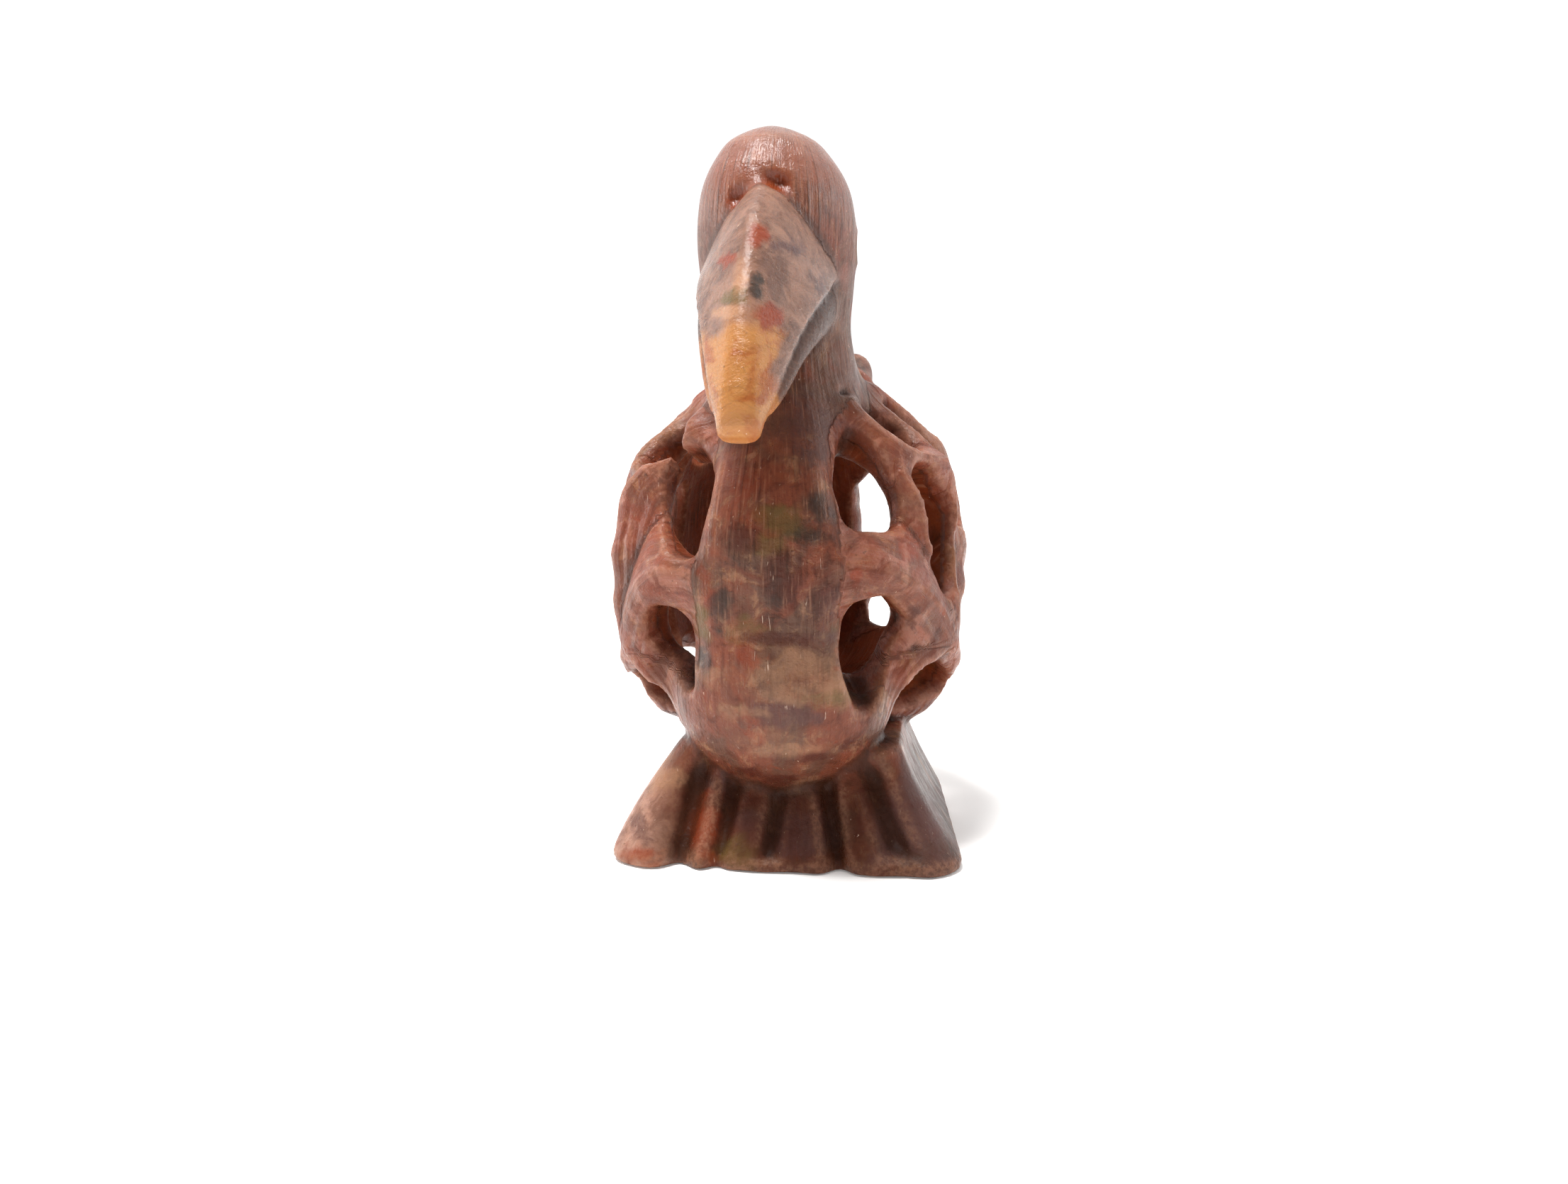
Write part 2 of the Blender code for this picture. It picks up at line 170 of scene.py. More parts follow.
leftOpenings = {          # the same openings on the side of -X, which the carver cut lower and less evenly
    "breastHigh": ((36, 33), (30, 36), (24, 33), (20, 28), (18, 21), (19, 13), (20, 9), (20, 5), (25, 6),
                   (31, 10), (36, 15), (39, 21), (39, 28)),
    "breastLow": ((30, -11), (26, -12), (23, -16), (21.5, -21), (21.5, -29), (26, -26), (31, -23), (36, -21),
                  (38, -16), (35, -12)),
    "flank": ((64, 21), (69, 24), (75, 17), (76, 6), (73, -6), (68, -13), (65, -8), (63, 3), (62, 13)),
    "shoulder": ((35, 37), (50, 31), (64, 30), (72, 38), (68, 54), (52, 60), (44, 45)),
    "thigh": ((46, -31), (38, -35), (37, -43), (45, -52), (58, -54), (70, -46), (71, -38), (58, -34)),
    "sideHigh": ((91, 57), (83, 43), (79, 28), (84, 11), (91, 3), (98, 11), (103, 28), (99, 43)),
    "sideLow": ((91, -13), (82, -20), (78, -30), (84, -41), (91, -46), (98, -41), (104, -30), (100, -20)),
    "rumpHigh": ((119, 17), (117, 3), (114, -7), (111, -16), (107, -12), (105, 4), (107, 20), (114, 25)),
    "back": ((144, 57), (146, 45), (138, 35), (122, 34), (110, 43), (112, 57), (130, 64)),
    "rumpLow": ((133, -39), (122, -37), (110, -40), (106, -46), (115, -54), (132, -52)),
    "rearHigh": ((171, 9), (171, -15), (163, -17), (156, -10), (156, 6), (162, 18)),
    "rearLow": ((161, -22), (158, -39), (149, -41), (140, -33), (142, -23), (151, -20)),
}
# crests of the ribs: start and end (degrees around, degrees up, lift), bow, lift between, slope on each side
crests = [
    ((44, 29, 0.0), (63, -22, 1.5), 1.0, 0.5, 0.65, 1.0),
    ((32, 50, 0.4), (80, 31, 1.4), -8.0, 0.6, 0.35, 0.6),
    ((14, 3, 0.2), (63, -22, 1.5), 7.0, 0.5, 0.32, 0.36),
    ((41, -46, 0.4), (63, -22, 1.5), 9.0, 0.6, 1.0, 0.60),
    ((80, 31, 1.4), (63, -22, 1.5), -3.0, 0.3, 0.6, 0.6),
    ((97, 64, 0.4), (80, 31, 1.4), 0.0, 0.2, 0.45, 0.45),
    ((80, 31, 1.4), (93, 2, 0.3), 0.0, 0.2, 0.45, 0.45),
    ((93, 2, 0.3), (63, -22, 1.5), 0.0, 0.1, 0.45, 0.45),
    ((63, -22, 1.5), (84, -56, 1.2), 3.0, 1.5, 0.45, 0.4),
    ((97, 64, 0.4), (112, 33, 1.2), 0.0, 0.2, 0.45, 0.45),
    ((112, 33, 1.2), (93, 2, 0.3), 0.0, 0.2, 0.45, 0.45),
    ((93, 2, 0.3), (116, -24, 1.3), 0.0, 0.2, 0.45, 0.45),
    ((116, -24, 1.3), (92, -58, 0.8), 0.0, 1.0, 0.45, 0.45),
    ((112, 33, 1.2), (116, -24, 1.3), 0.0, 0.2, 0.45, 0.45),
    ((152, 44, 0.2), (112, 33, 1.2), 0.0, 0.2, 0.40, 0.45),
    ((150, 38, 0.2), (116, -24, 1.3), 3.0, 0.2, 0.40, 0.45),
    ((168, -3, 0.0), (116, -24, 1.3), -2.0, 0.2, 0.35, 0.35),
    ((145, -46, 0.0), (116, -24, 1.3), 4.0, 0.2, 0.45, 0.40),
]
leftCrests = {            # those that run otherwise on the side of -X, by their place in the list
    0: ((46, 33, 0.3), (54, -21, 0.9), 8.0, 0.9, 0.55, 0.38),
    1: ((33, 42, 0.5), (72, 29, 0.6), -1.0, 0.5, 0.45, 0.45),
    2: ((14, -1, 0.2), (52, -21, 0.9), 9.0, 0.7, 0.35, 0.45),
    3: ((36, -44, 0.4), (52, -23, 0.8), 3.0, 0.6, 0.9, 0.60),
    4: ((76, 28, 0.6), (56, -22, 0.4), 3.0, 0.0, 0.45, 0.4),
    7: ((93, 2, 0.2), (58, -22, 0.2), 0.0, 0.0, 0.45, 0.45),
    8: ((54, -24, 0.6), (80, -56, 1.0), 3.0, 1.3, 0.45, 0.4),
}
netLimits = {
    "step": 1.0,          # degrees between the map's points
    "rounds": 1,          # of corner cutting on each opening
    "open": 0.8,          # added to each opening all round, which gives back what its rounded corners lose
    "facing": 0.55,       # an opening is looked for no further round than this cosine
    "far": 12.0,          # gap given to everything further off
    "legs": 8,            # straight legs that a bowed crest is laid out in
    "endFall": 1.2,       # how much faster a crest falls away beyond its ends
    "lowest": -9.0,       # lift where no crest reaches
    "deepest": -4.0,      # how far a facet may fall below the egg
    "pillow": 0.045,      # how fast the skin falls away towards an opening
    "pillowFrom": 3.0,    # mm from it
    "uneven": 0.22,       # hand carving: how far the skin wanders, and how ragged the openings' edges are
    "raggedEdge": (3.2, 2.0),       # ripple's size and seed
    "wander": ((6.5, 5.0), (2.6, 1.0)),
    "plainBreast": (24, 12),        # degrees around and up where the egg keeps its own skin
    "plainBack": (158, 168),
    "plainEnds": (62, 72),
}


def rounded(loop):  # corner cutting: each corner gives way to points a quarter along its two sides
    for _ in range(netLimits["rounds"]):
        ahead = np.roll(loop, -1, axis=0)
        loop = np.stack([0.75 * loop + 0.25 * ahead, 0.25 * loop + 0.75 * ahead], 1).reshape(-1, 2)
    return loop


# distance from a direction to an opening's outline, in mm on a flat sheet against the skin; under 0 inside
def openingGap(wx, wy, wz, loop, side):
    loop = rounded(np.array(loop, dtype=float))
    px, py, pz = aim(side * loop[:, 0], loop[:, 1])
    n = np.array([px.mean(), py.mean(), pz.mean()])
    n /= np.linalg.norm(n)
    size = float(eggReach(*n))
    e1 = np.cross((0, 0, 1), n)
    e1 /= np.linalg.norm(e1)
    e2 = np.cross(n, e1)
    facing = wx * n[0] + wy * n[1] + wz * n[2]
    near = facing > netLimits["facing"]
    gap = np.full(wx.shape, netLimits["far"])
    w = np.stack([wx[near], wy[near], wz[near]], -1)
    q = np.stack([w @ e1, w @ e2], -1) / facing[near][:, None] * size
    ring = np.stack([px, py, pz], -1)
    ring = np.stack([ring @ e1, ring @ e2], -1) / (ring @ n)[:, None] * size
    best = np.full(len(q), 99.0)
    inside = np.zeros(len(q), dtype=bool)
    for a, b in zip(ring, np.roll(ring, -1, axis=0)):
        run = b - a
        t = np.clip(((q - a) @ run) / (run @ run), 0, 1)
        best = np.minimum(best, np.hypot(*(q - a - t[:, None] * run).T))
        crosses = (a[1] > q[:, 1]) != (b[1] > q[:, 1])
        inside ^= crosses & (q[:, 0] < a[0] + (q[:, 1] - a[1]) * run[0] / (run[1] if run[1] else 1e-9))
    gap[near] = np.where(inside, -best, best)
    return gap


# a roof along a bowed line, falling away to each side; also how far across and along it a point lies
def crestLift(skin, start, end, bow, middle, slopeA, slopeB, side):
    legs = netLimits["legs"]
    t = np.linspace(0, 1, legs + 1)
    swing = bow * np.sin(math.pi * t ** 0.75)
    dAround, dUp = end[0] - start[0], end[1] - start[1]
    length = math.hypot(dAround, dUp)
    aroundLine = start[0] + dAround * t - swing * dUp / length
    upLine = start[1] + dUp * t + swing * dAround / length
    px, py, pz = aim(side * aroundLine, upLine)
    reach = eggReach(px, py, pz)
    path = np.stack([px * reach, py * reach, pz * reach], -1)
    lift = np.full(skin.shape[:-1], netLimits["lowest"])
    across, along = np.zeros_like(lift), np.zeros_like(lift)
    reachLong = np.linalg.norm(path[-1] - path[0])
    for k in range(legs):
        p, q = path[k], path[k + 1]
        run = q - p
        s = np.clip(((skin - p) @ run) / (run @ run), 0, 1)
        off = skin - p - s[..., None] * run
        sideways = np.cross(run, p + q)
        lateral = side * (off @ sideways) / np.linalg.norm(sideways)
        beyond = np.sqrt(np.maximum((off ** 2).sum(-1) - lateral ** 2, 0))
        whole = (k + s) / legs
        top = start[2] * (1 - whole) ** 3 + end[2] * whole ** 3 + middle * 3 * whole * (1 - whole)
        slope = np.where(lateral > 0, slopeA, slopeB)
        roof = top - slope * np.hypot(lateral, netLimits["endFall"] * beyond)
        higher = roof > lift
        across, along = np.where(higher, lateral, across), np.where(higher, whole * reachLong, along)
        lift = np.maximum(lift, roof)
    return lift, across, along


# for every direction: distance to the nearest opening, how far the skin stands above or below the egg, how far
# across and along the nearest crest it lies, and how plain it is
def netMap():
    step = netLimits["step"]
    around, up = np.meshgrid(np.arange(-180, 180 + step, step), np.arange(-90, 90 + step, step), indexing="ij")
    wx, wy, wz = aim(around, up)
    reach = eggReach(wx, wy, wz)
    skin = np.stack([wx * reach, wy * reach, wz * reach], -1)
    gap = np.full(around.shape, netLimits["far"])
    lift = np.full(around.shape, netLimits["lowest"])
    across, along = np.zeros_like(lift), np.zeros_like(lift)
    for side, loops, changed in ((1, openings, {}), (-1, leftOpenings, leftCrests)):
        for loop in loops.values():
            gap = np.minimum(gap, openingGap(wx, wy, wz, loop, side))
        for k, crest in enumerate(crests):
            roof, roofAcross, roofAlong = crestLift(skin, *changed.get(k, crest), side)
            higher = roof > lift
            across, along = np.where(higher, roofAcross, across), np.where(higher, roofAlong, along)
            lift = np.maximum(lift, roof)
    plain = ramp(np.abs(around), *netLimits["plainBreast"])
    plain = np.maximum(plain, ramp(np.abs(around), *netLimits["plainBack"]))
    plain = np.maximum(plain, ramp(np.abs(up), *netLimits["plainEnds"]))
    uneven = netLimits["uneven"]
    place = skin.transpose(2, 0, 1)
    gap = gap - netLimits["open"] + uneven * ripple(*place, *netLimits["raggedEdge"])
    broad, small = netLimits["wander"]
    lift = lift + uneven * (ripple(*place, *broad) + 0.5 * ripple(*place, *small))
    fall = netLimits["pillow"] * np.clip(netLimits["pillowFrom"] - gap, 0, netLimits["pillowFrom"]) ** 2
    lift = np.maximum(lift, netLimits["deepest"]) * (1 - plain) - fall
    return {"step": step, "gap": gap, "lift": lift, "across": across, "along": along, "plain": plain}


def readMap(table, key, around, up):  # value at any direction, straight-line between the table's steps
    u = (around + 180) / table["step"]
    v = (up + 90) / table["step"]
    grid = table[key]
    i = np.clip(u.astype(np.int32), 0, grid.shape[0] - 2)
    j = np.clip(v.astype(np.int32), 0, grid.shape[1] - 2)
    fu, fv = u - i, v - j
    return ((grid[i, j] * (1 - fu) + grid[i + 1, j] * fu) * (1 - fv)
            + (grid[i, j + 1] * (1 - fu) + grid[i + 1, j + 1] * fu) * fv)


# squared egg with the belly's bulge, hollowed, its skin faceted, and the openings cut through
def bodyGap(x, y, z, table):
    around, up, r, direction = fromMiddle(x, y, z)
    reach = eggReach(*direction)
    skin = (r - reach) * body["slant"]
    depth = np.clip(-skin, 0, body["taperTo"])
    bx, by, bz = belly["middle"]
    ha, hb, hc = belly["half"]
    bulge = (np.sqrt(((x - bx) / ha) ** 2 + ((y - by) / hb) ** 2 + ((z - bz) / hc) ** 2) - 1) * belly["size"]
    outer = softLow(skin - readMap(table, "lift", around, up), bulge, belly["join"])
    front = ramp(np.abs(around), *body["breastEdge"])
    wall = body["ribDepth"] + (body["breastDepth"] - body["ribDepth"]) * front
    out = softHigh(outer, -skin - wall, body["hollowRound"])
    sides = -readMap(table, "gap", around, up) * (r / reach) + body["taper"] * depth
    return softHigh(out, sides, body["ribRound"])


# neck and head
head = {                  # heights of the ovals, and at each: half width, half depth, middle's Y, lean in X
    "height": (47.5, 52.8, 57.3, 61.7, 66.6, 71.5, 76.4, 80.8, 84.4, 87.5, 89.9, 91.6),
    "wide": (8.0, 9.0, 9.7, 9.5, 9.1, 9.7, 10.1, 9.9, 9.1, 7.4, 5.3, 2.4),
    "deep": (11.5, 12.0, 11.9, 11.2, 10.6, 11.3, 12.1, 12.3, 11.5, 9.7, 7.0, 3.2),
    "back": (-6.5, -6.4, -6.2, -5.9, -5.9, -6.8, -7.8, -8.3, -8.4, -8.3, -8.2, -8.1),
    "lean": (0.0, 0.0, -0.1, -0.4, -0.7, -0.9, -0.9, -0.9, -1.0, -1.2, -1.4, -1.5),
    "slant": 0.93,        # allows for the skin's slant
    "crown": 91.7,
    "crownRound": 2.2,
    "root": 52.0,         # the neck starts here, inside the body
}
eye = {
    "middleX": -0.9, "apart": 9.6, "y": -5.6, "z": 76.9,
    "ring": (2.1, 0.8, 0.45, 0.5),      # radius, flatness, thickness, how softly it joins
    "slit": (1.3, 1.5, 0.75),           # half sizes of the oval that cuts it
    "slitUp": 0.1, "slitScale": 0.9, "slitRound": 0.3,
}


# ovals stacked upwards, sized and placed by height; each gap is the oval's share out, times its size
def headGap(x, y, z):
    wide, deep, back, lean = (curve(z, head["height"], head[name]) for name in ("wide", "deep", "back", "lean"))
    q = np.sqrt(((x - lean) / wide) ** 2 + ((y - back) / deep) ** 2)
    out = (q - 1) * np.minimum(wide, deep) * head["slant"]
    out = softHigh(out, z - head["crown"], head["crownRound"])
    out = np.maximum(out, head["root"] - z)
    ey, ez = eye["y"], eye["z"]
    radius, flat, thick, join = eye["ring"]
    a, b, c = eye["slit"]
    for side in (-1, 1):                                       # ring round each eye, and the slit in it
        ex = eye["middleX"] + side * eye["apart"]
        ring = np.sqrt((x - ex) ** 2 + (y - ey) ** 2 + (z - ez) ** 2)
        out = softLow(out, np.sqrt(((ring - radius) * flat) ** 2 + ((x - ex) * flat) ** 2) - thick, join)
        slit = np.sqrt(((x - ex) / a) ** 2 + ((y - ey) / b) ** 2 + ((z - ez - eye["slitUp"]) / c) ** 2) - 1
        out = softHigh(out, -slit * eye["slitScale"], eye["slitRound"])
    return out


# beak
beak = {                  # nine sections from inside the head to the tip: ridge, lips, half width at the lips
    "middle": -1.0,
    "ridgeY": (-10.7, -19.0, -23.9, -28.8, -33.2, -37.5, -41.0, -42.7, -43.3),
    "ridgeZ": (85.8, 83.9, 82.2, 79.3, 75.0, 69.6, 63.0, 58.6, 55.6),
    "lipY": (-8.0, -15.5, -20.5, -26.0, -31.3, -35.9, -39.3, -40.9, -42.2),
    "lipZ": (72.6, 72.0, 70.6, 68.7, 65.8, 62.0, 58.6, 56.8, 54.3),
    "half": (8.9, 8.8, 8.5, 7.7, 6.5, 5.2, 4.0, 3.2, 2.6),
    "bulge": (0.60, 0.60, 0.62, 0.66, 0.74, 0.80, 0.85, 0.9, 0.9),  # under 1 makes the cheeks full
    "gape": (2.6, 2.5, 2.2, 1.9, 1.6, 1.2, 0.7, 0.3, 0.1),            # how far the jaws stand apart
    "gapeShare": 0.6,     # of the gape, taken off the lower jaw
    "chin": 1.6,          # the lower jaw's edge, as a share of ridge to lips
    "chinLeast": 2.0,     # and never less than this far below them
    "tipFrom": (3.5, 7.5),          # sections between which the ridge widens into the blunt tip
    "ridge": (0.3, 1.3),            # half width of the ridge, and what the tip adds
    "ridgeRound": (0.35, 0.6),
    "lipRound": 0.9,
    "jaw": (0.94, 0.5),             # its half width as a share of the lips', and how much it loses underneath
    "jawTuck": (0.55, 1.15),        # where it loses that, as a share of its depth
    "jawRound": (0.8, 1.0),
    "tongue": (0.9, 0.12),          # how far the stone inside the mouth is set back, and how much the gape adds
    "tongueFrom": 0.8, "tongueTo": 1.45, "tongueRound": 0.5,
    "root": -12.0,        # the beak starts at this Y, inside the head
}


# sections joined ridge to lips; each point takes the section it lies on, and its share of the way down it
def beakGap(x, y, z):
    y2, z2 = y[0], z[0]
    last, fine = len(beak["half"]) - 1, 12                     # steps from one section to the next
    k = np.arange(last + 1)
    s = np.linspace(0, last, last * fine + 1)
    ridgeY, ridgeZ, lipY, lipZ = (curve(s, k, beak[name])[:, None, None]
                                  for name in ("ridgeY", "ridgeZ", "lipY", "lipZ"))
    long = np.hypot(lipY - ridgeY, lipZ - ridgeZ)
    ahead = ((y2 - ridgeY) * (lipZ - ridgeZ) - (z2 - ridgeZ) * (lipY - ridgeY)) / long   # over 0 in front of it
    at = np.clip((ahead > 0).sum(0) - 1, 0, last * fine - 1)
    here = np.take_along_axis(ahead, at[None], 0)[0]
    after = np.take_along_axis(ahead, at[None] + 1, 0)[0]
    share = np.clip((at + np.clip(here / np.maximum(here - after, 1e-6), 0, 1)) / fine, 0, last)
    ry, rz, ly, lz, half, bulge, gape = (curve(share, k, beak[name]) for name in
                                         ("ridgeY", "ridgeZ", "lipY", "lipZ", "half", "bulge", "gape"))
    tall = np.hypot(ly - ry, lz - rz)
    d = ((y2 - ry) * (ly - ry) + (z2 - rz) * (lz - rz)) / tall ** 2  # 0 at the ridge, 1 at the lips
    tip = ramp(share, *beak["tipFrom"])
    flat = beak["ridge"][0] + beak["ridge"][1] * tip
    upper = flat + (half - flat) * np.clip(d, 0, 1.15) ** bulge
    side = np.abs(x - beak["middle"])
    level = 0 * x                                              # makes a flat section as wide as the block
    ridgeRound = beak["ridgeRound"][0] + beak["ridgeRound"][1] * tip
    hood = softHigh((side - upper) * 0.8, -d * tall + level, ridgeRound)
    under = (d - 1) * tall                                     # mm below the lips
    hood = softHigh(hood, under + level, beak["lipRound"])
    deepJaw = np.maximum((beak["chin"] - 1) * tall, beak["chinLeast"])
    lower = half * (beak["jaw"][0] - beak["jaw"][1] * ramp(under / deepJaw, *beak["jawTuck"]))
    jaw = softHigh((side - lower) * 0.9, (1 - d) * tall + gape * beak["gapeShare"] + level, beak["jawRound"][0])
    jaw = softHigh(jaw, under - deepJaw + level, beak["jawRound"][1])
    setBack, more = beak["tongue"]
    inside = side - half + setBack + more * gape
    tongue = softHigh(inside, (d - beak["tongueTo"]) * tall + level, beak["tongueRound"])
    tongue = softHigh(tongue, (beak["tongueFrom"] - d) * tall + level, beak["tongueRound"])
    out = softLow(softLow(hood, jaw, 0.5), tongue, 0.6)
    wayY, wayZ = beak["lipY"][last] - beak["ridgeY"][last], beak["lipZ"][last] - beak["ridgeZ"][last]
    beyond = (y2 - beak["ridgeY"][last]) * wayZ - (z2 - beak["ridgeZ"][last]) * wayY
    out = softHigh(out, beyond / math.hypot(wayY, wayZ) + level, 0.8)
    return np.maximum(out, y - beak["root"])


# hollows and cuts in the head
pits = {                  # two pits over the root of the beak: X, Z, slant in degrees, half length
    "places": ((-4.5, 81.9, 45, 1.9), (0.6, 83.7, -30, 2.1)),
    "y": -20.8, "deep": 2.3, "wide": 1.1, "round": 0.5,
}
sawCut = {                # a short cut left by a saw at the root of the neck
    "middle": (9.1, -13.1, 58.8), "half": (2.1, 2.4, 0.52), "tilt": 0.25, "scale": 0.55, "round": 0.25,
}


def pitGap(x, y, z, px, pz, slant, long):  # a slanted oval
    ca, sa = math.cos(math.radians(slant)), math.sin(math.radians(slant))
    along, across = (x - px) * ca + (z - pz) * sa, (z - pz) * ca - (x - px) * sa
    q = np.sqrt((along / long) ** 2 + ((y - pits["y"]) / pits["deep"]) ** 2 + (across / pits["wide"]) ** 2)
    return (q - 1.0) * pits["wide"]


def sawGap(x, y, z):  # a thin oval that rises with X
    cx, cy, cz = sawCut["middle"]
    a, b, c = sawCut["half"]
    q = np.sqrt(((x - cx) / a) ** 2 + ((y - cy) / b) ** 2 + ((z - cz - sawCut["tilt"] * (x - cx)) / c) ** 2)
    return q * sawCut["scale"] - sawCut["scale"]


# tail
tail = {
    "middle": (0.0, 25.9, 58.0), "half": (10.4, 8.4, 5.8), "size": 6.2,
    "lift": 0.035,        # how fast it curls upwards behind
    "root": 12.0,         # the curls fan out from this far in front of its middle
    "curls": 5, "fan": 1.9, "cut": 1.2,
}


def tailGap(x, y, z):  # an oval tuft tipped up at the back, grooved into curls that fan from its root
    cx, cy, cz = tail["middle"]
    dx, dy = x - cx, y - cy
    dz = z - cz - tail["lift"] * (dy + 8) ** 2 / 2
    a, b, c = tail["half"]
    q = np.sqrt((dx / a) ** 2 + (dy / b) ** 2 + (dz / c) ** 2)
    fan = np.arctan2(dx, dy + tail["root"])
    groove = tail["cut"] * (0.5 + 0.5 * np.cos(fan * 2 * tail["curls"] * tail["fan"])) * ramp(dy, -6, 2)
    return (q - 1) * tail["size"] + groove


# foot
foot = {
    "middleX": 1.8, "middleY": -3.0,
    "tall": 14.5, "wide": 45.4, "long": 46.8, "topWide": 28.8, "topLong": 35.0,
    "sweep": 1.35,        # how hollow its sides are, 1 is straight
    "rearShare": 0.80,    # width at the rear as a share of the front's
    "leftSwell": 1.4,     # how much fuller the side of -X is
    "corner": 6.0, "edge": 1.2,
    "lobes": (3, 0.9, 0.35),        # toes between the grooves: X of one, waves per mm, height
    "toesFrom": (0.55, 0.9),        # share of the half length where the grooves start and are full
    "toesEnd": (10.0, 14.0),        # heights where most of their depth is lost
}
toeGrooves = [            # X on the sole, X at the top, half width, depth, height where it starts
    (-11.6, -9.2, 1.6, 2.4, -1.0), (-6.8, -4.7, 1.2, 1.8, -1.0), (-0.4, 1.2, 1.2, 1.7, 0.8),
    (9.0, 6.7, 1.25, 2.4, -1.0), (17.6, 12.6, 1.8, 2.6, 1.6),
]


def footGap(x, y, z):  # a rounded oblong that narrows upwards in a hollow sweep, grooved between the toes
    up = np.clip((z - foot["edge"]) / (foot["tall"] - foot["edge"]), 0, 1)
    flare = (1 - up) ** foot["sweep"]
    halfWide = (foot["topWide"] + (foot["wide"] - foot["topWide"]) * flare) / 2
    halfLong = (foot["topLong"] + (foot["long"] - foot["topLong"]) * flare) / 2
    dx, dy = x - foot["middleX"], y - foot["middleY"]
    narrow = 1 - (1 - foot["rearShare"]) * np.clip(0.5 + dy / (2 * halfLong), 0, 1) * (1 - 0.6 * up)
    swell = foot["leftSwell"] * 4 * up * (1 - up)
    halfHere = halfWide * narrow + np.where(dx < 0, swell, 0)
    cut = np.zeros_like(x)
    for sole, top, half, deep, start in toeGrooves:
        place = sole + (top - sole) * np.clip(z / 11, 0, 1.2) ** 0.8
        cut = np.maximum(cut, deep * np.exp(-((x - place) / half) ** 2) * ramp(z, start, start + 1.6))
    toe, waves, high = foot["lobes"]
    lobes = 0.5 * np.cos((x - toe) * waves)
    front = ramp(-dy, foot["toesFrom"][0] * halfLong, foot["toesFrom"][1] * halfLong)
    dy = dy - (cut + high * lobes) * front * (1 - 0.7 * ramp(z, *foot["toesEnd"]))
    corner = foot["corner"] * halfWide / (foot["wide"] / 2)
    qx, qy = np.abs(dx) - (halfHere - corner), np.abs(dy) - (halfLong - corner)
    out = np.hypot(np.maximum(qx, 0), np.maximum(qy, 0)) + np.minimum(np.maximum(qx, qy), 0) - corner
    out = softHigh(out * 0.9, -z, 0.7)
    return softHigh(out, z - foot["tall"] - 0.4, 1.0)


# carving the block
forms = (                 # what is joined, the corners of the part of the block it can reach, how softly
    (headGap, (-20, -26, 47), (20, 14, 94), 5.0),
    (beakGap, (-14, -46, 48), (14, -10, 92), 0.5),
    (tailGap, (-15, 14, 48), (15, 37, 70), 1.2),
    (footGap, (-26, -30, -2), (27, 24, 18), 0.7),
)


def block():  # the whole block as a grid of points, and the gap of every one of them
    cell = carving["cell"]
    corners = zip(carving["low"], carving["high"])
    axes = [np.arange(lo, hi + cell / 2, cell, dtype=np.float32) for lo, hi in corners]
    gap = np.full([len(a) for a in axes], carving["air"], dtype=np.float32)
    table = netMap()
    done("net laid out")

    def work(shape, lows, highs, blend, cut=False):  # adds or cuts one form inside a part of the grid
        part = tuple(slice(np.searchsorted(a, lo), np.searchsorted(a, hi))
                     for a, lo, hi in zip(axes, lows, highs))
        form = shape(*np.meshgrid(*[a[p] for a, p in zip(axes, part)], indexing="ij"))
        gap[part] = softHigh(gap[part], -form, blend) if cut else softLow(gap[part], form, blend)

    work(lambda x, y, z: bodyGap(x, y, z, table), (-26, -30, 7), (27, 33, 63), 0.01)
    done("body cut")
    for shape, lows, highs, blend in forms:
        work(shape, lows, highs, blend)
    work(sawGap, (5, -17, 55), (11, -9, 62), sawCut["round"], cut=True)
    for pit in pits["places"]:
        work(lambda x, y, z: pitGap(x, y, z, *pit), (-8, -28, 76), (8, -10, 90), pits["round"], cut=True)
    done("head, beak, tail and foot joined")
    for axis in range(3):  # rubs every edge a little round, as wax and handling do
        here, before, after = ([slice(None)] * 3 for _ in range(3))
        here[axis], before[axis], after[axis] = slice(1, -1), slice(None, -2), slice(2, None)
        here, before, after = tuple(here), tuple(before), tuple(after)
        gap[here] += carving["wear"] * (gap[before] + gap[after] - 2 * gap[here])
    widest = cadBox[0][0] * 1000 + carving["inside"] - axes[0][:, None, None]
    gap[:] = softHigh(gap, widest, carving["insideRound"])     # keeps the widest rib inside the solid's own box
    return axes, gap, table


def skinOf(axes, gap):  # the surface where the gap is 0, as one closed mesh of quads and triangles
    grid = vdb.FloatGrid(background=carving["air"])
    grid.copyFromArray(gap)
    points, tris, quads = grid.convertToPolygons(isovalue=0.0, adaptivity=0.0)
    places = points * carving["cell"] + np.array(carving["low"], dtype=np.float32)
    return places, tris, quads


# drops chips that hang loose in the air: each point takes the lowest number it is joined to, over and over, and
# the number that most points end with is kept
def largestPiece(points, tris, quads):
    label = np.arange(len(points))
    corners = np.concatenate([quads, np.concatenate([tris, tris[:, :1]], 1)]) if len(tris) else quads
    for _ in range(400):
        low = label[corners].min(1)
        fresh = label.copy()
        np.minimum.at(fresh, corners.ravel(), np.repeat(low, 4))
        fresh = fresh[fresh]
        if (fresh == label).all():
            break
        label = fresh
    names, counts = np.unique(label, return_counts=True)
    keep = label == names[counts.argmax()]
    place = np.cumsum(keep) - 1
    quads = place[quads[keep[quads[:, 0]]]]
    tris = place[tris[keep[tris[:, 0]]]] if len(tris) else tris
    print("loose chips dropped", len(names) - 1)
    return points[keep], tris, quads


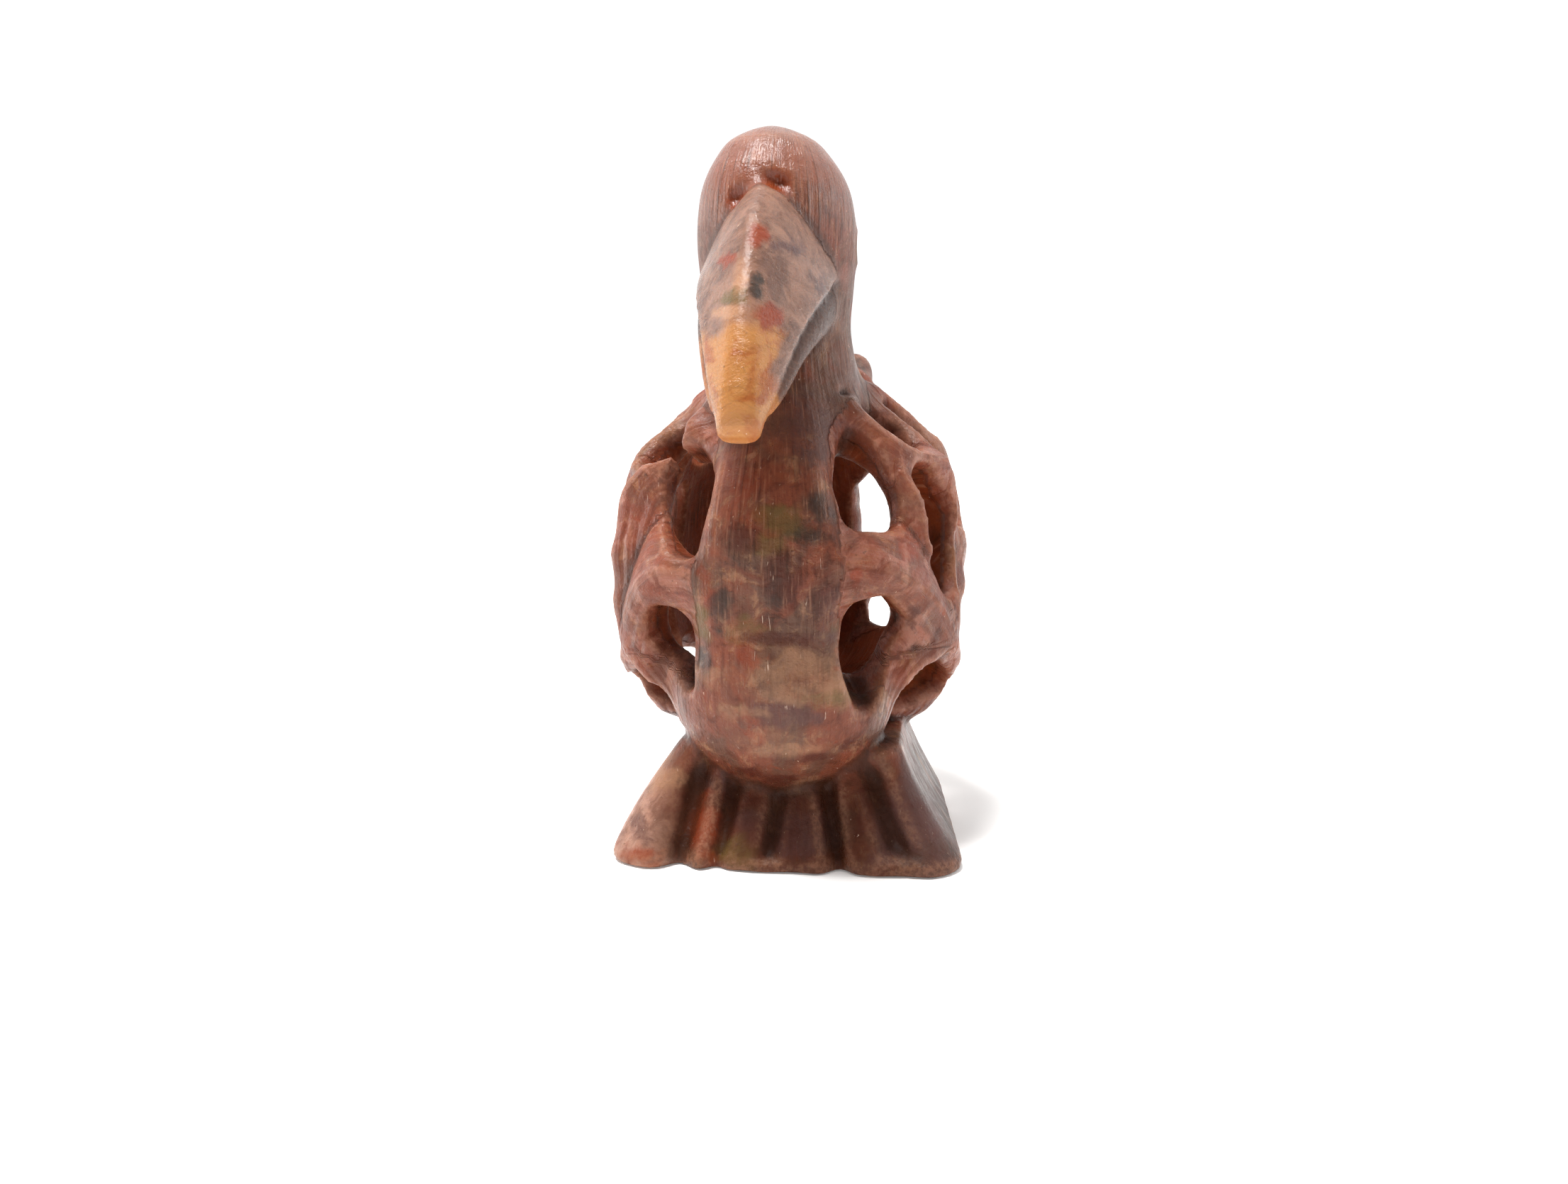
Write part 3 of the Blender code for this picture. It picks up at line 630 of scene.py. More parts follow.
def meshFrom(name, points, tris, quads):  # fills a mesh from whole arrays
    mesh = bpy.data.meshes.new(name)
    loops = np.concatenate([quads.ravel(), tris.ravel()]).astype(np.int32)
    starts = np.concatenate([np.arange(len(quads)) * 4, len(quads) * 4 + np.arange(len(tris)) * 3])
    mesh.vertices.add(len(points))
    mesh.vertices.foreach_set("co", (points * 0.001).astype(np.float32).ravel())
    mesh.loops.add(len(loops))
    mesh.loops.foreach_set("vertex_index", loops)
    mesh.polygons.add(len(starts))
    mesh.polygons.foreach_set("loop_start", starts.astype(np.int32))
    mesh.update(calc_edges=True)
    mesh.validate()
    mesh.shade_smooth()
    return mesh


axes, gap, table = block()
points, tris, quads = largestPiece(*skinOf(axes, gap))
mesh = meshFrom("soapstoneDodo", points, tris, quads)
bird = bpy.data.objects.new("soapstoneDodo", mesh)
bpy.context.scene.collection.objects.link(bird)
done("stone meshed, " + str(len(quads) * 2 + len(tris)) + " triangles")

# colouring of the stone
# marks in the stone by kind, and among the beige one painted highlight: X, Y, Z of the middle, half width, half
# height in mm, strength
stainsAndGlint = {
    "rust": ((-0.2, -31.2, 76.6, 1.0, 1.3, 1.0), (-3.8, -31.4, 73.8, 1.2, 0.6, 0.8),
             (1.8, -36.6, 67.1, 1.2, 1.1, 1.0), (16.5, -18.8, 39.1, 1.0, 1.2, 0.9),
             (10.7, -25.1, 37.2, 0.6, 0.9, 0.9), (-2.2, -27.8, 27.1, 1.2, 1.7, 0.7),
             (-7.1, -26.8, 35.2, 1.2, 2.2, 0.6), (-8.4, -24.0, 4.4, 1.8, 3.0, 1.0),
             (-16.2, -25.9, 1.6, 2.5, 0.9, 0.9), (-3.5, -25.8, 46.5, 2.9, 4.2, 0.45),
             (11.9, -18.9, 23.0, 1.9, 1.2, 0.6), (-15.0, -16.8, 29.3, 1.3, 1.1, 0.6)),
    "maroon": ((2.1, -27.8, 36.8, 2.0, 2.7, 0.9), (-2.5, -27.4, 41.5, 1.5, 1.9, 0.7),
             (1.0, -27.8, 29.6, 3.9, 0.7, 0.9), (6.6, -26.9, 34.0, 1.7, 3.4, 0.6),
             (-3.1, -23.8, 12.2, 2.8, 0.8, 0.9), (1.5, -23.5, 11.1, 2.3, 0.7, 0.9),
             (5.8, -25.3, 14.7, 2.1, 0.5, 0.8), (10.4, -22.8, 15.8, 2.4, 0.7, 0.7),
             (11.5, -22.7, 7.1, 1.2, 2.6, 0.7), (2.0, -22.1, 7.7, 11.5, 1.2, 0.7),
             (0.8, -25.0, 4.0, 9.0, 4.2, 0.55)),
    "beige": ((4.1, -27.9, 25.9, 6.1, 2.2, 0.6), (3.3, -28.2, 23.0, 5.1, 1.2, 0.55),
             (8.5, -26.4, 23.1, 2.6, 1.7, 0.75), (0.0, -27.5, 17.5, 5.1, 1.2, 0.35),
             (-14.5, -20.3, 10.3, 2.7, 2.3, 0.6), (14.9, -19.5, 33.0, 2.3, 1.4, 0.35),
             (-3.0, -27.2, 20.6, 3.4, 0.9, 0.5), (2.5, -26.8, 15.9, 5.2, 0.8, 0.55),
             # the beige oval at X -3.4, Y -37.2, Z 67.6 is a painted highlight: a pale glint on the beak's left
             # face, not a stain
             (-6.8, -26.0, 24.6, 2.4, 1.4, 0.45), (-3.4, -37.2, 67.6, 2.0, 0.6, 0.9),
             (-1.6, -35.6, 71.3, 0.8, 1.8, 0.8)),
    "olive": ((2.0, -26.9, 43.8, 2.8, 1.7, 0.75), (0.5, -27.6, 41.0, 2.1, 1.2, 0.7),
             (-8.1, -25.8, 31.6, 1.0, 2.6, 0.8), (-2.5, -27.7, 30.2, 2.7, 1.5, 0.6),
             (7.7, -26.8, 22.3, 3.4, 0.9, 0.6), (-4.0, -25.7, 2.0, 2.3, 1.6, 0.9),
             (-2.5, -36.8, 69.4, 1.8, 0.7, 0.7), (8.3, -25.0, 31.1, 1.4, 1.0, 0.4)),
    "charcoal": ((6.4, -25.6, 45.1, 1.7, 1.9, 0.8), (5.6, -26.7, 42.2, 2.7, 1.2, 0.7),
             (-5.4, -27.3, 33.0, 1.1, 2.5, 0.8), (-8.1, -25.2, 26.0, 1.0, 1.6, 0.8),
             (9.9, -24.5, 41.0, 1.2, 0.8, 0.6), (17.2, -17.9, 30.7, 1.2, 1.3, 0.8),
             (0.2, -36.4, 70.4, 0.5, 1.4, 1.0), (-3.3, -27.7, 38.2, 2.2, 1.7, 0.4),
             (1.0, -27.9, 34.0, 1.7, 2.2, 0.45)),
    "mauve": ((2.1, -28.2, 20.6, 3.7, 1.5, 1.0), (3.0, -27.6, 75.5, 2.1, 0.7, 0.8),
             (6.3, -24.6, 71.0, 0.4, 1.7, 0.7), (4.3, -24.3, 4.8, 3.3, 2.5, 0.9),
             (-2.5, -23.9, 5.5, 1.4, 1.2, 0.8), (18.1, -22.1, 6.9, 3.9, 5.3, 0.9),
             (-7.0, -21.5, 10.1, 2.7, 1.1, 0.6), (7.2, -26.6, 33.1, 1.5, 3.9, 0.5),
             (5.2, -19.7, 54.7, 3.5, 5.2, 0.6), (6.1, -17.0, 80.2, 2.2, 5.1, 0.4),
             (-16.1, -24.1, 4.4, 1.4, 1.4, 0.6)),
}
hiddenStains = {          # round the back: size of the patches, and how high a ripple must be to show
    "rust": (7.0, 0.36), "maroon": (6.0, 0.42), "beige": (9.0, 0.36),
    "olive": (7.0, 0.50), "charcoal": (5.0, 0.50), "mauve": (9.0, 0.36),
}
stainAndGlintLimits = {
    "grow": (1.15, 0.2),  # every oval is this much bigger than its table says, times and plus
    "deep": 2.5,          # added to its half depth in Y
    "reach": 2.5,         # no further than this share of its size
    "ragged": 0.35, "grain": (0.9, 0.5),      # how ragged, and how coarsely: times its lesser half and plus
    "edge": (1.7, 0.2),   # shares of its size where it starts and is full
    "hidden": 0.5,        # strength of the patches behind
    "hiddenFrom": (-16, -4),        # Y where they start and are full
    "squash": 0.7, "soft": 0.35,
}
stainAndGlintMarks = {            # three kinds fit in one mark, as its X, Y and Z
    "warmStainsAndGlint": ("rust", "maroon", "beige"), "coolStains": ("olive", "charcoal", "mauve"),
}


def readGrid(field, points):  # value of a grid field at each point, straight-line between the grid's own points
    at = [(points[:, k] - axes[k][0]) / carving["cell"] for k in range(3)]
    low = [np.clip(a.astype(np.int32), 0, n - 2) for a, n in zip(at, field.shape)]
    share = [(1 - (a - c), a - c) for a, c in zip(at, low)]
    total = 0.0
    for i in (0, 1):
        for j in (0, 1):
            for k in (0, 1):
                weight = share[0][i] * share[1][j] * share[2][k]
                total = total + weight * field[low[0] + i, low[1] + j, low[2] + k]
    return total


# how sharply the skin bends: the gaps some cells off on both sides, less twice the gap here; over 0 on an edge
def bending(cells):
    total = np.zeros_like(gap)
    for axis in range(3):
        total += np.roll(gap, cells, axis) + np.roll(gap, -cells, axis) - 2 * gap
    return total / (cells * carving["cell"]) ** 2


# soft ragged ovals, of which the strongest one wins; behind the bird, patches where a ripple is high
def stainAndGlintShare(kind, x, y, z):
    share = np.zeros_like(x)
    grow, more = stainAndGlintLimits["grow"]
    for k, (sx, sy, sz, wide, tall, strength) in enumerate(stainsAndGlint[kind]):
        wide, tall = wide * grow + more, tall * grow + more
        deep = max(wide, tall) + stainAndGlintLimits["deep"]
        q = np.sqrt(((x - sx) / wide) ** 2 + ((y - sy) / deep) ** 2 + ((z - sz) / tall) ** 2)
        near = q < stainAndGlintLimits["reach"]
        grainSize = stainAndGlintLimits["grain"][0] * min(wide, tall) + stainAndGlintLimits["grain"][1]
        q[near] += stainAndGlintLimits["ragged"] * ripple(x[near], y[near], z[near], grainSize, k + 1.0)
        share = np.maximum(share, strength * ramp(q, *stainAndGlintLimits["edge"]))
    size, height = hiddenStains[kind]
    patches = ripple(x, y, stainAndGlintLimits["squash"] * z, size, 3.0 + len(kind) * 1.7)
    patches = ramp(patches, height, height + stainAndGlintLimits["soft"])
    return np.maximum(share, stainAndGlintLimits["hidden"] * patches * ramp(y, *stainAndGlintLimits["hiddenFrom"]))


def setMark(name, values):  # stores one value, or one set of three, for each point of the mesh
    kind, field = ("FLOAT", "value") if values.ndim == 1 else ("FLOAT_VECTOR", "vector")
    stored = mesh.attributes.new(name, kind, "POINT")
    stored.data.foreach_set(field, np.ascontiguousarray(values, dtype=np.float32).ravel())


markLimits = {            # where each mark starts and is full
    "worn": (0.28, 0.95),           # bend of an edge
    # the crease mark and the broad hollow mark are painted shade: creases and hollows are darkened as shade
    # would darken them
    "groovesAndShade": (0.15, 1.0),            # bend of a crease
    "hollow": (0.04, 0.30),         # and of a broad one
    "hollowShadeShare": 0.8,             # how strong a broad one is
    "inner": (0.9, 2.8),            # mm below the skin of the net
    "aboveFoot": (12, 15),
    "offHead": (0.5, 2.0),
    "horn": (0.1, 1.0),             # mm outside the head
    "hornFront": (13, 15),          # mm in front of the middle
    "hornLow": (65.6, -13.4, 0.386, 1.2),      # height of the beak's lower edge, at which Y, its rise, the drop
    "hornEdge": (-1.0, 0.6),
    "jaw": (0.1, 0.9),              # mm below the lips
    "tip": (71.0, 63.5),            # heights, where Y is tipAt
    "tipAt": -40, "tipRise": 0.25, "tipRipple": (1.6, 5.0, 4.0),
    "tipSide": (3.6, 1.9),          # X past which the tip's colour stops
    "tipSideRipple": (0.5, 3.0, 9.0),
    "pit": (1.05, 0.5),             # shares of its half length
    "pitFront": (16, 18),
    "net": (3.0, 1.5),              # mm off the net's skin
    "netLow": (13, 17),
    "netOffHead": (0.3, 2.5),
}
strokes = {               # the way of the file
    "middle": (-1, -4), "round": 14,        # round the body: its middle, and mm to a radian
    "beakSlope": 0.55,    # across the beak: mm up for each mm to the side
    "net": 3, "beak": 7,  # numbers that tell the material the net and the beak from the rest
}


# where the stone is worn, where creases and hollows take painted shade, inside the net, beak, jaw or tip,
# pitted and stained, and which way it was filed: a place across the stroke, one along it, and the number of
# what it is
def markStone():
    limits = markLimits
    x, y, z = points.T.astype(np.float64)
    sharp, broad = readGrid(bending(1), points), readGrid(bending(3), points)
    setMark("worn", ramp(sharp, *limits["worn"]))
    hollow = limits["hollowShadeShare"] * ramp(-broad, *limits["hollow"])
    setMark("groovesAndShade", np.maximum(ramp(-sharp, *limits["groovesAndShade"]), hollow))

    around, up, r, direction = fromMiddle(x, y, z)
    below = eggReach(*direction) - r + readMap(table, "lift", around, up)
    offHead = headGap(x, y, z)
    inner = ramp(below, *limits["inner"]) * ramp(z, *limits["aboveFoot"])
    setMark("inner", inner * ramp(offHead, *limits["offHead"]))

    edgeZ, edgeY, rise, drop = limits["hornLow"]
    lowEdge = edgeZ + (y - edgeY) * rise - drop
    horn = ramp(offHead, *limits["horn"]) * ramp(-y, *limits["hornFront"])
    horn = horn * ramp(z - lowEdge, *limits["hornEdge"])
    setMark("horn", horn)
    lips = np.interp(-y, [-v for v in beak["lipY"]], beak["lipZ"])
    setMark("jaw", horn * ramp(lips - z, *limits["jaw"]))
    high, size, seed = limits["tipRipple"]
    level = z + limits["tipRise"] * (y - limits["tipAt"])
    tip = ramp(level + high * ripple(x, y, z, size, seed), *limits["tip"])
    high, size, seed = limits["tipSideRipple"]
    setMark("tip", horn * tip * ramp(x + high * ripple(x, y, z, size, seed), *limits["tipSide"]))
    pit = np.zeros_like(x)
    for px, pz, _, long in pits["places"]:
        nearPit = ramp(np.sqrt((x - px) ** 2 + (z - pz) ** 2) / long, *limits["pit"])
        pit = np.maximum(pit, nearPit * ramp(-y, *limits["pitFront"]) * (1 - horn))
    setMark("pit", pit)

    onNet = ramp(np.abs(below), *limits["net"]) * (1 - readMap(table, "plain", around, up))
    onNet = onNet * ramp(z, *limits["netLow"]) * ramp(offHead, *limits["netOffHead"]) > 0.5
    onBeak = horn > 0.5
    mx, my = strokes["middle"]
    across = np.arcsin((x - mx) / np.hypot(x - mx, y - my)) * strokes["round"]  # turns back behind
    across = np.where(onNet, readMap(table, "across", around, up), across)
    along = np.where(onNet, readMap(table, "along", around, up), z)
    across = np.where(onBeak, z + strokes["beakSlope"] * np.abs(x - mx), across)
    along = np.where(onBeak, y, along)
    setMark("fileWay", np.stack([across, along, strokes["net"] * onNet + strokes["beak"] * onBeak], -1))
    for name, kinds in stainAndGlintMarks.items():
        setMark(name, np.stack([stainAndGlintShare(kind, x, y, z) for kind in kinds], -1))


markStone()
done("stone marked")

stoneLook = {
    "ground": (0.180, 0.050, 0.026), "groundGrey": (0.112, 0.052, 0.033), "groundDeep": (0.072, 0.018, 0.008),
    "rust": (0.205, 0.034, 0.011), "maroon": (0.062, 0.012, 0.006), "beige": (0.350, 0.178, 0.098),
    "olive": (0.115, 0.074, 0.022), "charcoal": (0.032, 0.023, 0.018), "mauve": (0.092, 0.042, 0.036),
    "horn": (0.240, 0.124, 0.083), "hornDeep": (0.112, 0.052, 0.035), "jaw": (0.070, 0.034, 0.024),
    "tip": (0.400, 0.170, 0.048), "amber": (0.280, 0.074, 0.015), "pit": (0.200, 0.038, 0.011),
    "crown": (0.215, 0.073, 0.043), "inner": (0.150, 0.023, 0.004), "worn": (0.400, 0.190, 0.115),
    # the darkest tone darkens the file grooves, and is also the painted shade laid into creases and hollows
    "groovesAndShade": (0.030, 0.009, 0.004), "foot": (0.055, 0.018, 0.009), "footGrey": (0.050, 0.026, 0.020),
    # the pale foot tone is painted light, laid on the foot's side of -X
    "footPaintedLight": (0.380, 0.205, 0.145), "blush": (0.340, 0.140, 0.092), "speck": (0.028, 0.015, 0.011),
    "paleSpeck": (0.72, 0.52, 0.40),
}
finish = {
    "bump": 0.7, "bumpDeep": 0.00026, "ior": 1.5,
    "broken": 1.5,        # how deep a pattern bites into the edge of a stain
    "brokenEdge": (0.12, 0.85), "faintEdge": (0.02, 0.35),
    "under": 0.12,        # how much light goes under the skin, how far by colour, and that distance in metres
    "underColour": (1.0, 0.30, 0.10), "underFar": 0.0008,
}

patterns = {              # size of the features in mm, detail, roughness, how far they are bent
    "clouds": (9.0, 4.0, 0.6, 0.8), "mottle": (2.6, 5.0, 0.65, 0.5), "fine": (0.7, 4.0, 0.7, 0.0),
    "dust": (0.22, 2.0, 0.6, 0.0), "rustClouds": (4.5, 4.0, 0.6, 1.0), "tipClouds": (4.0, 3.0, 0.5, 0.8),
    "blushClouds": (3.4, 4.0, 0.6, 0.9), "handled": (7.0, 2.0, 0.5, 0.0),
}
strokePatterns = {        # size across the stroke in mm, detail, roughness, width to length of a stroke
    "files": (0.30, 3.0, 0.6, 0.05), "deepFiles": (0.85, 2.0, 0.5, 0.07), "flutes": (1.5, 1.0, 0.4, 0.05),
}
bands = {                 # heights in mm where a tone or a finish starts and is full
    # the foot band is painted shade: the foot darkened low down, under the belly
    "crown": (74, 84), "neckLow": (50, 56), "neckHigh": (78, 66), "foot": (15, 8), "footSides": (15, 12),
    "filedFoot": (11, 16), "filedBody": (22, 40), "waxed": (76, 84), "dull": (12, 16),
}
# the foot's sides take painted light on the side of -X, turning to a grey tone on the side of +X
footSide = {"middle": 1.5, "from": (12.0, 18.0), "turn": (-4, 4)}       # X in mm

stone = bpy.data.materials.new("waxedSoapstone")
stone.use_nodes = True
nodes, links = stone.node_tree.nodes, stone.node_tree.links
shader = nodes["Principled BSDF"]


def join(source, target):  # a link, or a plain value
    if hasattr(source, "is_linked"):
        links.new(source, target)
    else:
        target.default_value = source


def mark(name, part=None):  # a value stored on the mesh
    node = nodes.new("ShaderNodeAttribute")
    node.attribute_name = name
    if part is None:
        return node.outputs["Fac"]
    split = nodes.new("ShaderNodeSeparateXYZ")
    links.new(node.outputs["Vector"], split.inputs[0])
    return split.outputs[part]


# noise with features about size mm across, drawn out along an axis where stretch is under 1, and bent
def grain(way, size, detail=3.0, rough=0.55, stretch=(1, 1, 1), bend=0.0):
    shape = nodes.new("ShaderNodeVectorMath")
    shape.operation = "MULTIPLY"
    links.new(way, shape.inputs[0])
    shape.inputs[1].default_value = [v / size for v in stretch]
    node = nodes.new("ShaderNodeTexNoise")
    links.new(shape.outputs[0], node.inputs["Vector"])
    for name, amount in (("Scale", 1.0), ("Detail", detail), ("Roughness", rough), ("Distortion", bend)):
        node.inputs[name].default_value = amount
    return node.outputs["Fac"]


# an S curve from start to end, while the value goes from low to high
def between(value, low, high, start=0.0, end=1.0):
    node = nodes.new("ShaderNodeMapRange")
    node.interpolation_type = "SMOOTHSTEP"
    join(value, node.inputs["Value"])
    for name, amount in (("From Min", low), ("From Max", high), ("To Min", start), ("To Max", end)):
        node.inputs[name].default_value = amount
    return node.outputs["Result"]


def sums(operation, a, b):  # one step of arithmetic
    node = nodes.new("ShaderNodeMath")
    node.operation = operation
    join(a, node.inputs[0])
    join(b, node.inputs[1])
    return node.outputs[0]


def times(a, b):
    return sums("MULTIPLY", a, b)


def plus(a, b):
    return sums("ADD", a, b)


def tint(share, base, colour):  # lays a colour over the base by the share
    node = nodes.new("ShaderNodeMix")
    node.data_type = "RGBA"
    join(share, node.inputs["Factor"])
    join(base if hasattr(base, "is_linked") else (*base, 1), node.inputs["A"])
    join(colour if hasattr(colour, "is_linked") else (*colour, 1), node.inputs["B"])
    return node.outputs["Result"]


def broken(share, pattern):  # a soft mark with its edge broken up by a pattern
    lifted = plus(share, times(sums("SUBTRACT", pattern, 0.5), finish["broken"]))
    return times(between(lifted, *finish["brokenEdge"]), between(share, *finish["faintEdge"]))


def layered(colour, layers):  # lays colours over the base one after another, each by its share
    for share, name in layers:
        colour = tint(share, colour, stoneLook[name])
    return colour


def cloud(name):  # a pattern through the stone
    size, detail, rough, bend = patterns[name]
    return grain(way, size, detail, rough, bend=bend)


def filed(name):  # a pattern drawn out along the way of the file
    size, detail, rough, short = strokePatterns[name]
    return grain(fileWay, size, detail, rough, stretch=(1, short, 1))


place = nodes.new("ShaderNodeTexCoord")
inMm = nodes.new("ShaderNodeVectorMath")
inMm.operation = "SCALE"
inMm.inputs["Scale"].default_value = 1000
links.new(place.outputs["Object"], inMm.inputs[0])
way = inMm.outputs[0]
places = nodes.new("ShaderNodeSeparateXYZ")
links.new(way, places.inputs[0])
sideways, height = places.outputs["X"], places.outputs["Z"]
fileMark = nodes.new("ShaderNodeAttribute")
fileMark.attribute_name = "fileWay"
fileWay = fileMark.outputs["Vector"]
fileKind = mark("fileWay", "Z")

clouds, mottle, fine = cloud("clouds"), cloud("mottle"), cloud("fine")
files, deepFiles = filed("files"), filed("deepFiles")
scratches = grain(way, 0.35, 2.0, 0.5, stretch=(1, 1, 0.12), bend=0.6)

# the stone itself, the crown of the head, the neck, painted shade low on the foot and painted light on its side
# of -X
crown = times(between(height, *bands["crown"]), sums("SUBTRACT", 1.0, mark("horn")))
neck = times(between(height, *bands["neckLow"]), between(height, *bands["neckHigh"]))
colour = tint(between(clouds, 0.40, 0.62), stoneLook["ground"], stoneLook["groundGrey"])
colour = layered(colour, (
    (between(mottle, 0.50, 0.68, 0, 0.75), "groundDeep"),
    (between(mottle, 0.47, 0.32, 0, 0.55), "beige"),
    (between(cloud("rustClouds"), 0.60, 0.72, 0, 0.65), "rust"),
    (times(crown, 0.75), "crown"),
    (times(neck, 0.5), "groundGrey"),
    # painted shade: the foot darkened below the belly
    (between(height, *bands["foot"], 0, 0.70), "foot"),
))
# painted light: the foot's side of -X made pale, its side of +X grey, broken up by the mottle
fromFootMiddle = sums("ABSOLUTE", sums("SUBTRACT", sideways, footSide["middle"]), 0.0)
footSides = times(between(fromFootMiddle, *footSide["from"]), between(height, *bands["footSides"]))
footSideLightAndGrey = tint(between(sideways, *footSide["turn"]), stoneLook["footPaintedLight"], stoneLook["footGrey"])
colour = tint(times(footSides, between(mottle, 0.35, 0.65, 0.85, 0.35)), colour, footSideLightAndGrey)

# the beak, its jaw and its ochre tip
hornMottle = plus(times(mottle, 0.6), times(clouds, 0.4))
hornTone = tint(between(hornMottle, 0.40, 0.62), stoneLook["horn"], stoneLook["hornDeep"])
colour = tint(times(mark("horn"), 0.94), colour, hornTone)
colour = tint(times(mark("jaw"), 0.92), colour, stoneLook["jaw"])
tipTone = tint(between(cloud("tipClouds"), 0.46, 0.66), stoneLook["tip"], stoneLook["amber"])
tipShare = between(plus(mark("tip"), times(sums("SUBTRACT", mottle, 0.5), 0.9)), 0.15, 0.85)
colour = tint(times(times(tipShare, 0.92), between(mark("tip"), 0.02, 0.2)), colour, tipTone)
colour = tint(times(mark("jaw"), times(mark("tip"), 0.45)), colour, stoneLook["amber"])

# stains, and a painted highlight on the beak
patchy = plus(times(mottle, 0.6), times(fine, 0.4))
stainAndGlintOrder = (("coolStains", "Z"), ("warmStainsAndGlint", "Z"), ("coolStains", "X"),
              ("warmStainsAndGlint", "X"), ("warmStainsAndGlint", "Y"), ("coolStains", "Y"))
for name, part in stainAndGlintOrder:
    kind = stainAndGlintMarks[name]["XYZ".index(part)]
    strength = between(mark("horn"), 0, 1, 0.75, 0.95)
    colour = tint(times(broken(mark(name, part), patchy), strength), colour, stoneLook[kind])

# the ribs, file strokes, specks, painted shade in creases and hollows, and worn edges
inner = mark("inner")
struts = times(between(fileKind, 1.0, 3.0), between(fileKind, 5.0, 3.5))
rough = times(between(fileKind, 1.0, 3.0, 1.0, 0.45), between(cloud("handled"), 0.40, 0.58, 0.35, 1.0))
rough = times(rough, between(fileKind, 3.5, 9.0, 1.0, 0.6))
filedFoot = between(height, *bands["filedFoot"], 0.12, 0.5)
rough = times(rough, plus(filedFoot, between(height, *bands["filedBody"], 0, 0.5)))
colour = layered(colour, (
    (times(struts, 0.30), "rust"),
    (times(struts, between(cloud("blushClouds"), 0.50, 0.64, 0, 0.5)), "blush"),
    (times(inner, between(mottle, 0.3, 0.7, 0.9, 0.55)), "inner"),
    (times(rough, between(files, 0.52, 0.70, 0, 0.60)), "groovesAndShade"),
    (times(rough, between(files, 0.47, 0.30, 0, 0.36)), "worn"),
    (times(rough, between(deepFiles, 0.56, 0.72, 0, 0.45)), "groovesAndShade"),
    (between(fine, 0.62, 0.74, 0, 0.65), "speck"),
    (times(between(scratches, 0.70, 0.76), between(mottle, 0.45, 0.6, 0, 0.6)), "paleSpeck"),
    # painted shade: creases and broad hollows darkened
    (times(mark("groovesAndShade"), between(mottle, 0.3, 0.7, 0.65, 0.85)), "groovesAndShade"),
    (times(mark("pit"), 0.95), "pit"),
    (times(mark("worn"), between(plus(fine, times(mark("horn"), -0.2)), 0.35, 0.65, 0.10, 0.42)), "worn"),
))
links.new(colour, shader.inputs["Base Color"])

# gloss: waxed on the beak and the crown, matt elsewhere
gloss = nodes.new("ShaderNodeMix")
join(sums("MAXIMUM", mark("horn"), between(height, *bands["waxed"])), gloss.inputs["Factor"])
join(plus(between(mottle, 0.3, 0.7, 0.27, 0.42), between(files, 0.4, 0.7, -0.05, 0.12)), gloss.inputs["A"])
join(plus(between(fine, 0.3, 0.7, 0.14, 0.24), between(files, 0.4, 0.7, -0.02, 0.10)), gloss.inputs["B"])
links.new(gloss.outputs["Result"], shader.inputs["Roughness"])
shine = times(between(crown, 0, 1, 0.21, 0.40), between(height, *bands["dull"], 0.5, 1))
shine = times(shine, between(sums("MAXIMUM", inner, mark("jaw")), 0, 1, 1.0, 0.2))
links.new(shine, shader.inputs["Specular IOR Level"])

# relief: file strokes, flutes along the ribs, mottling and dust
flutes = times(times(struts, 5.0), filed("flutes"))
relief = plus(times(rough, plus(times(files, 0.9), times(deepFiles, 1.8))), flutes)
relief = plus(relief, plus(times(mottle, 1.2), plus(times(fine, 0.8), times(cloud("dust"), 0.15))))
bump = nodes.new("ShaderNodeBump")
bump.inputs["Strength"].default_value = finish["bump"]
bump.inputs["Distance"].default_value = finish["bumpDeep"]
join(relief, bump.inputs["Height"])
links.new(bump.outputs["Normal"], shader.inputs["Normal"])

shader.inputs["IOR"].default_value = finish["ior"]
shader.inputs["Subsurface Weight"].default_value = finish["under"]
shader.inputs["Subsurface Radius"].default_value = finish["underColour"]
shader.inputs["Subsurface Scale"].default_value = finish["underFar"]
mesh.materials.append(stone)
done("stone coloured")

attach(bird, "root")
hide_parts("dodo_carving")

# floor, light and camera
studio = {
    "roomBehind": 1.12,   # how bright the white room is behind the bird
    "roomFront": 0.20,    # and in front of it, where it is darker
    "roomFall": (-0.6, 0.35),       # where it turns from one to the other, from -1 in front to 1 behind
    "floorHalf": 4.0,     # metres
    "floorColour": (0.93, 0.915, 0.90), "floorRough": 0.8,
    "floorGlow": (0.16, 0.66),      # lit from below, as white film is: near the bird, and far off
    "floorFall": (0.06, 0.4),       # metres from the bird
    "lamps": (            # name, place, size, watts
        ("topLamp", (-0.11, -0.09, 0.62), 0.17, 6.4),
        ("leftLamp", (-0.60, 0.14, 0.12), 0.28, 1.25),
        ("rightLamp", (0.62, 0.24, 0.22), 0.36, 1.0),
    ),
    "lampsAim": (0, 0, 0.045),
}


def eased(tree, value, ends, amounts):  # a map range node: an S curve between two amounts
    node = tree.nodes.new("ShaderNodeMapRange")
    node.interpolation_type = "SMOOTHSTEP"
    for name, amount in zip(("From Min", "From Max", "To Min", "To Max"), (*ends, *amounts)):
        node.inputs[name].default_value = amount
    tree.links.new(value, node.inputs["Value"])
    return node.outputs["Result"]


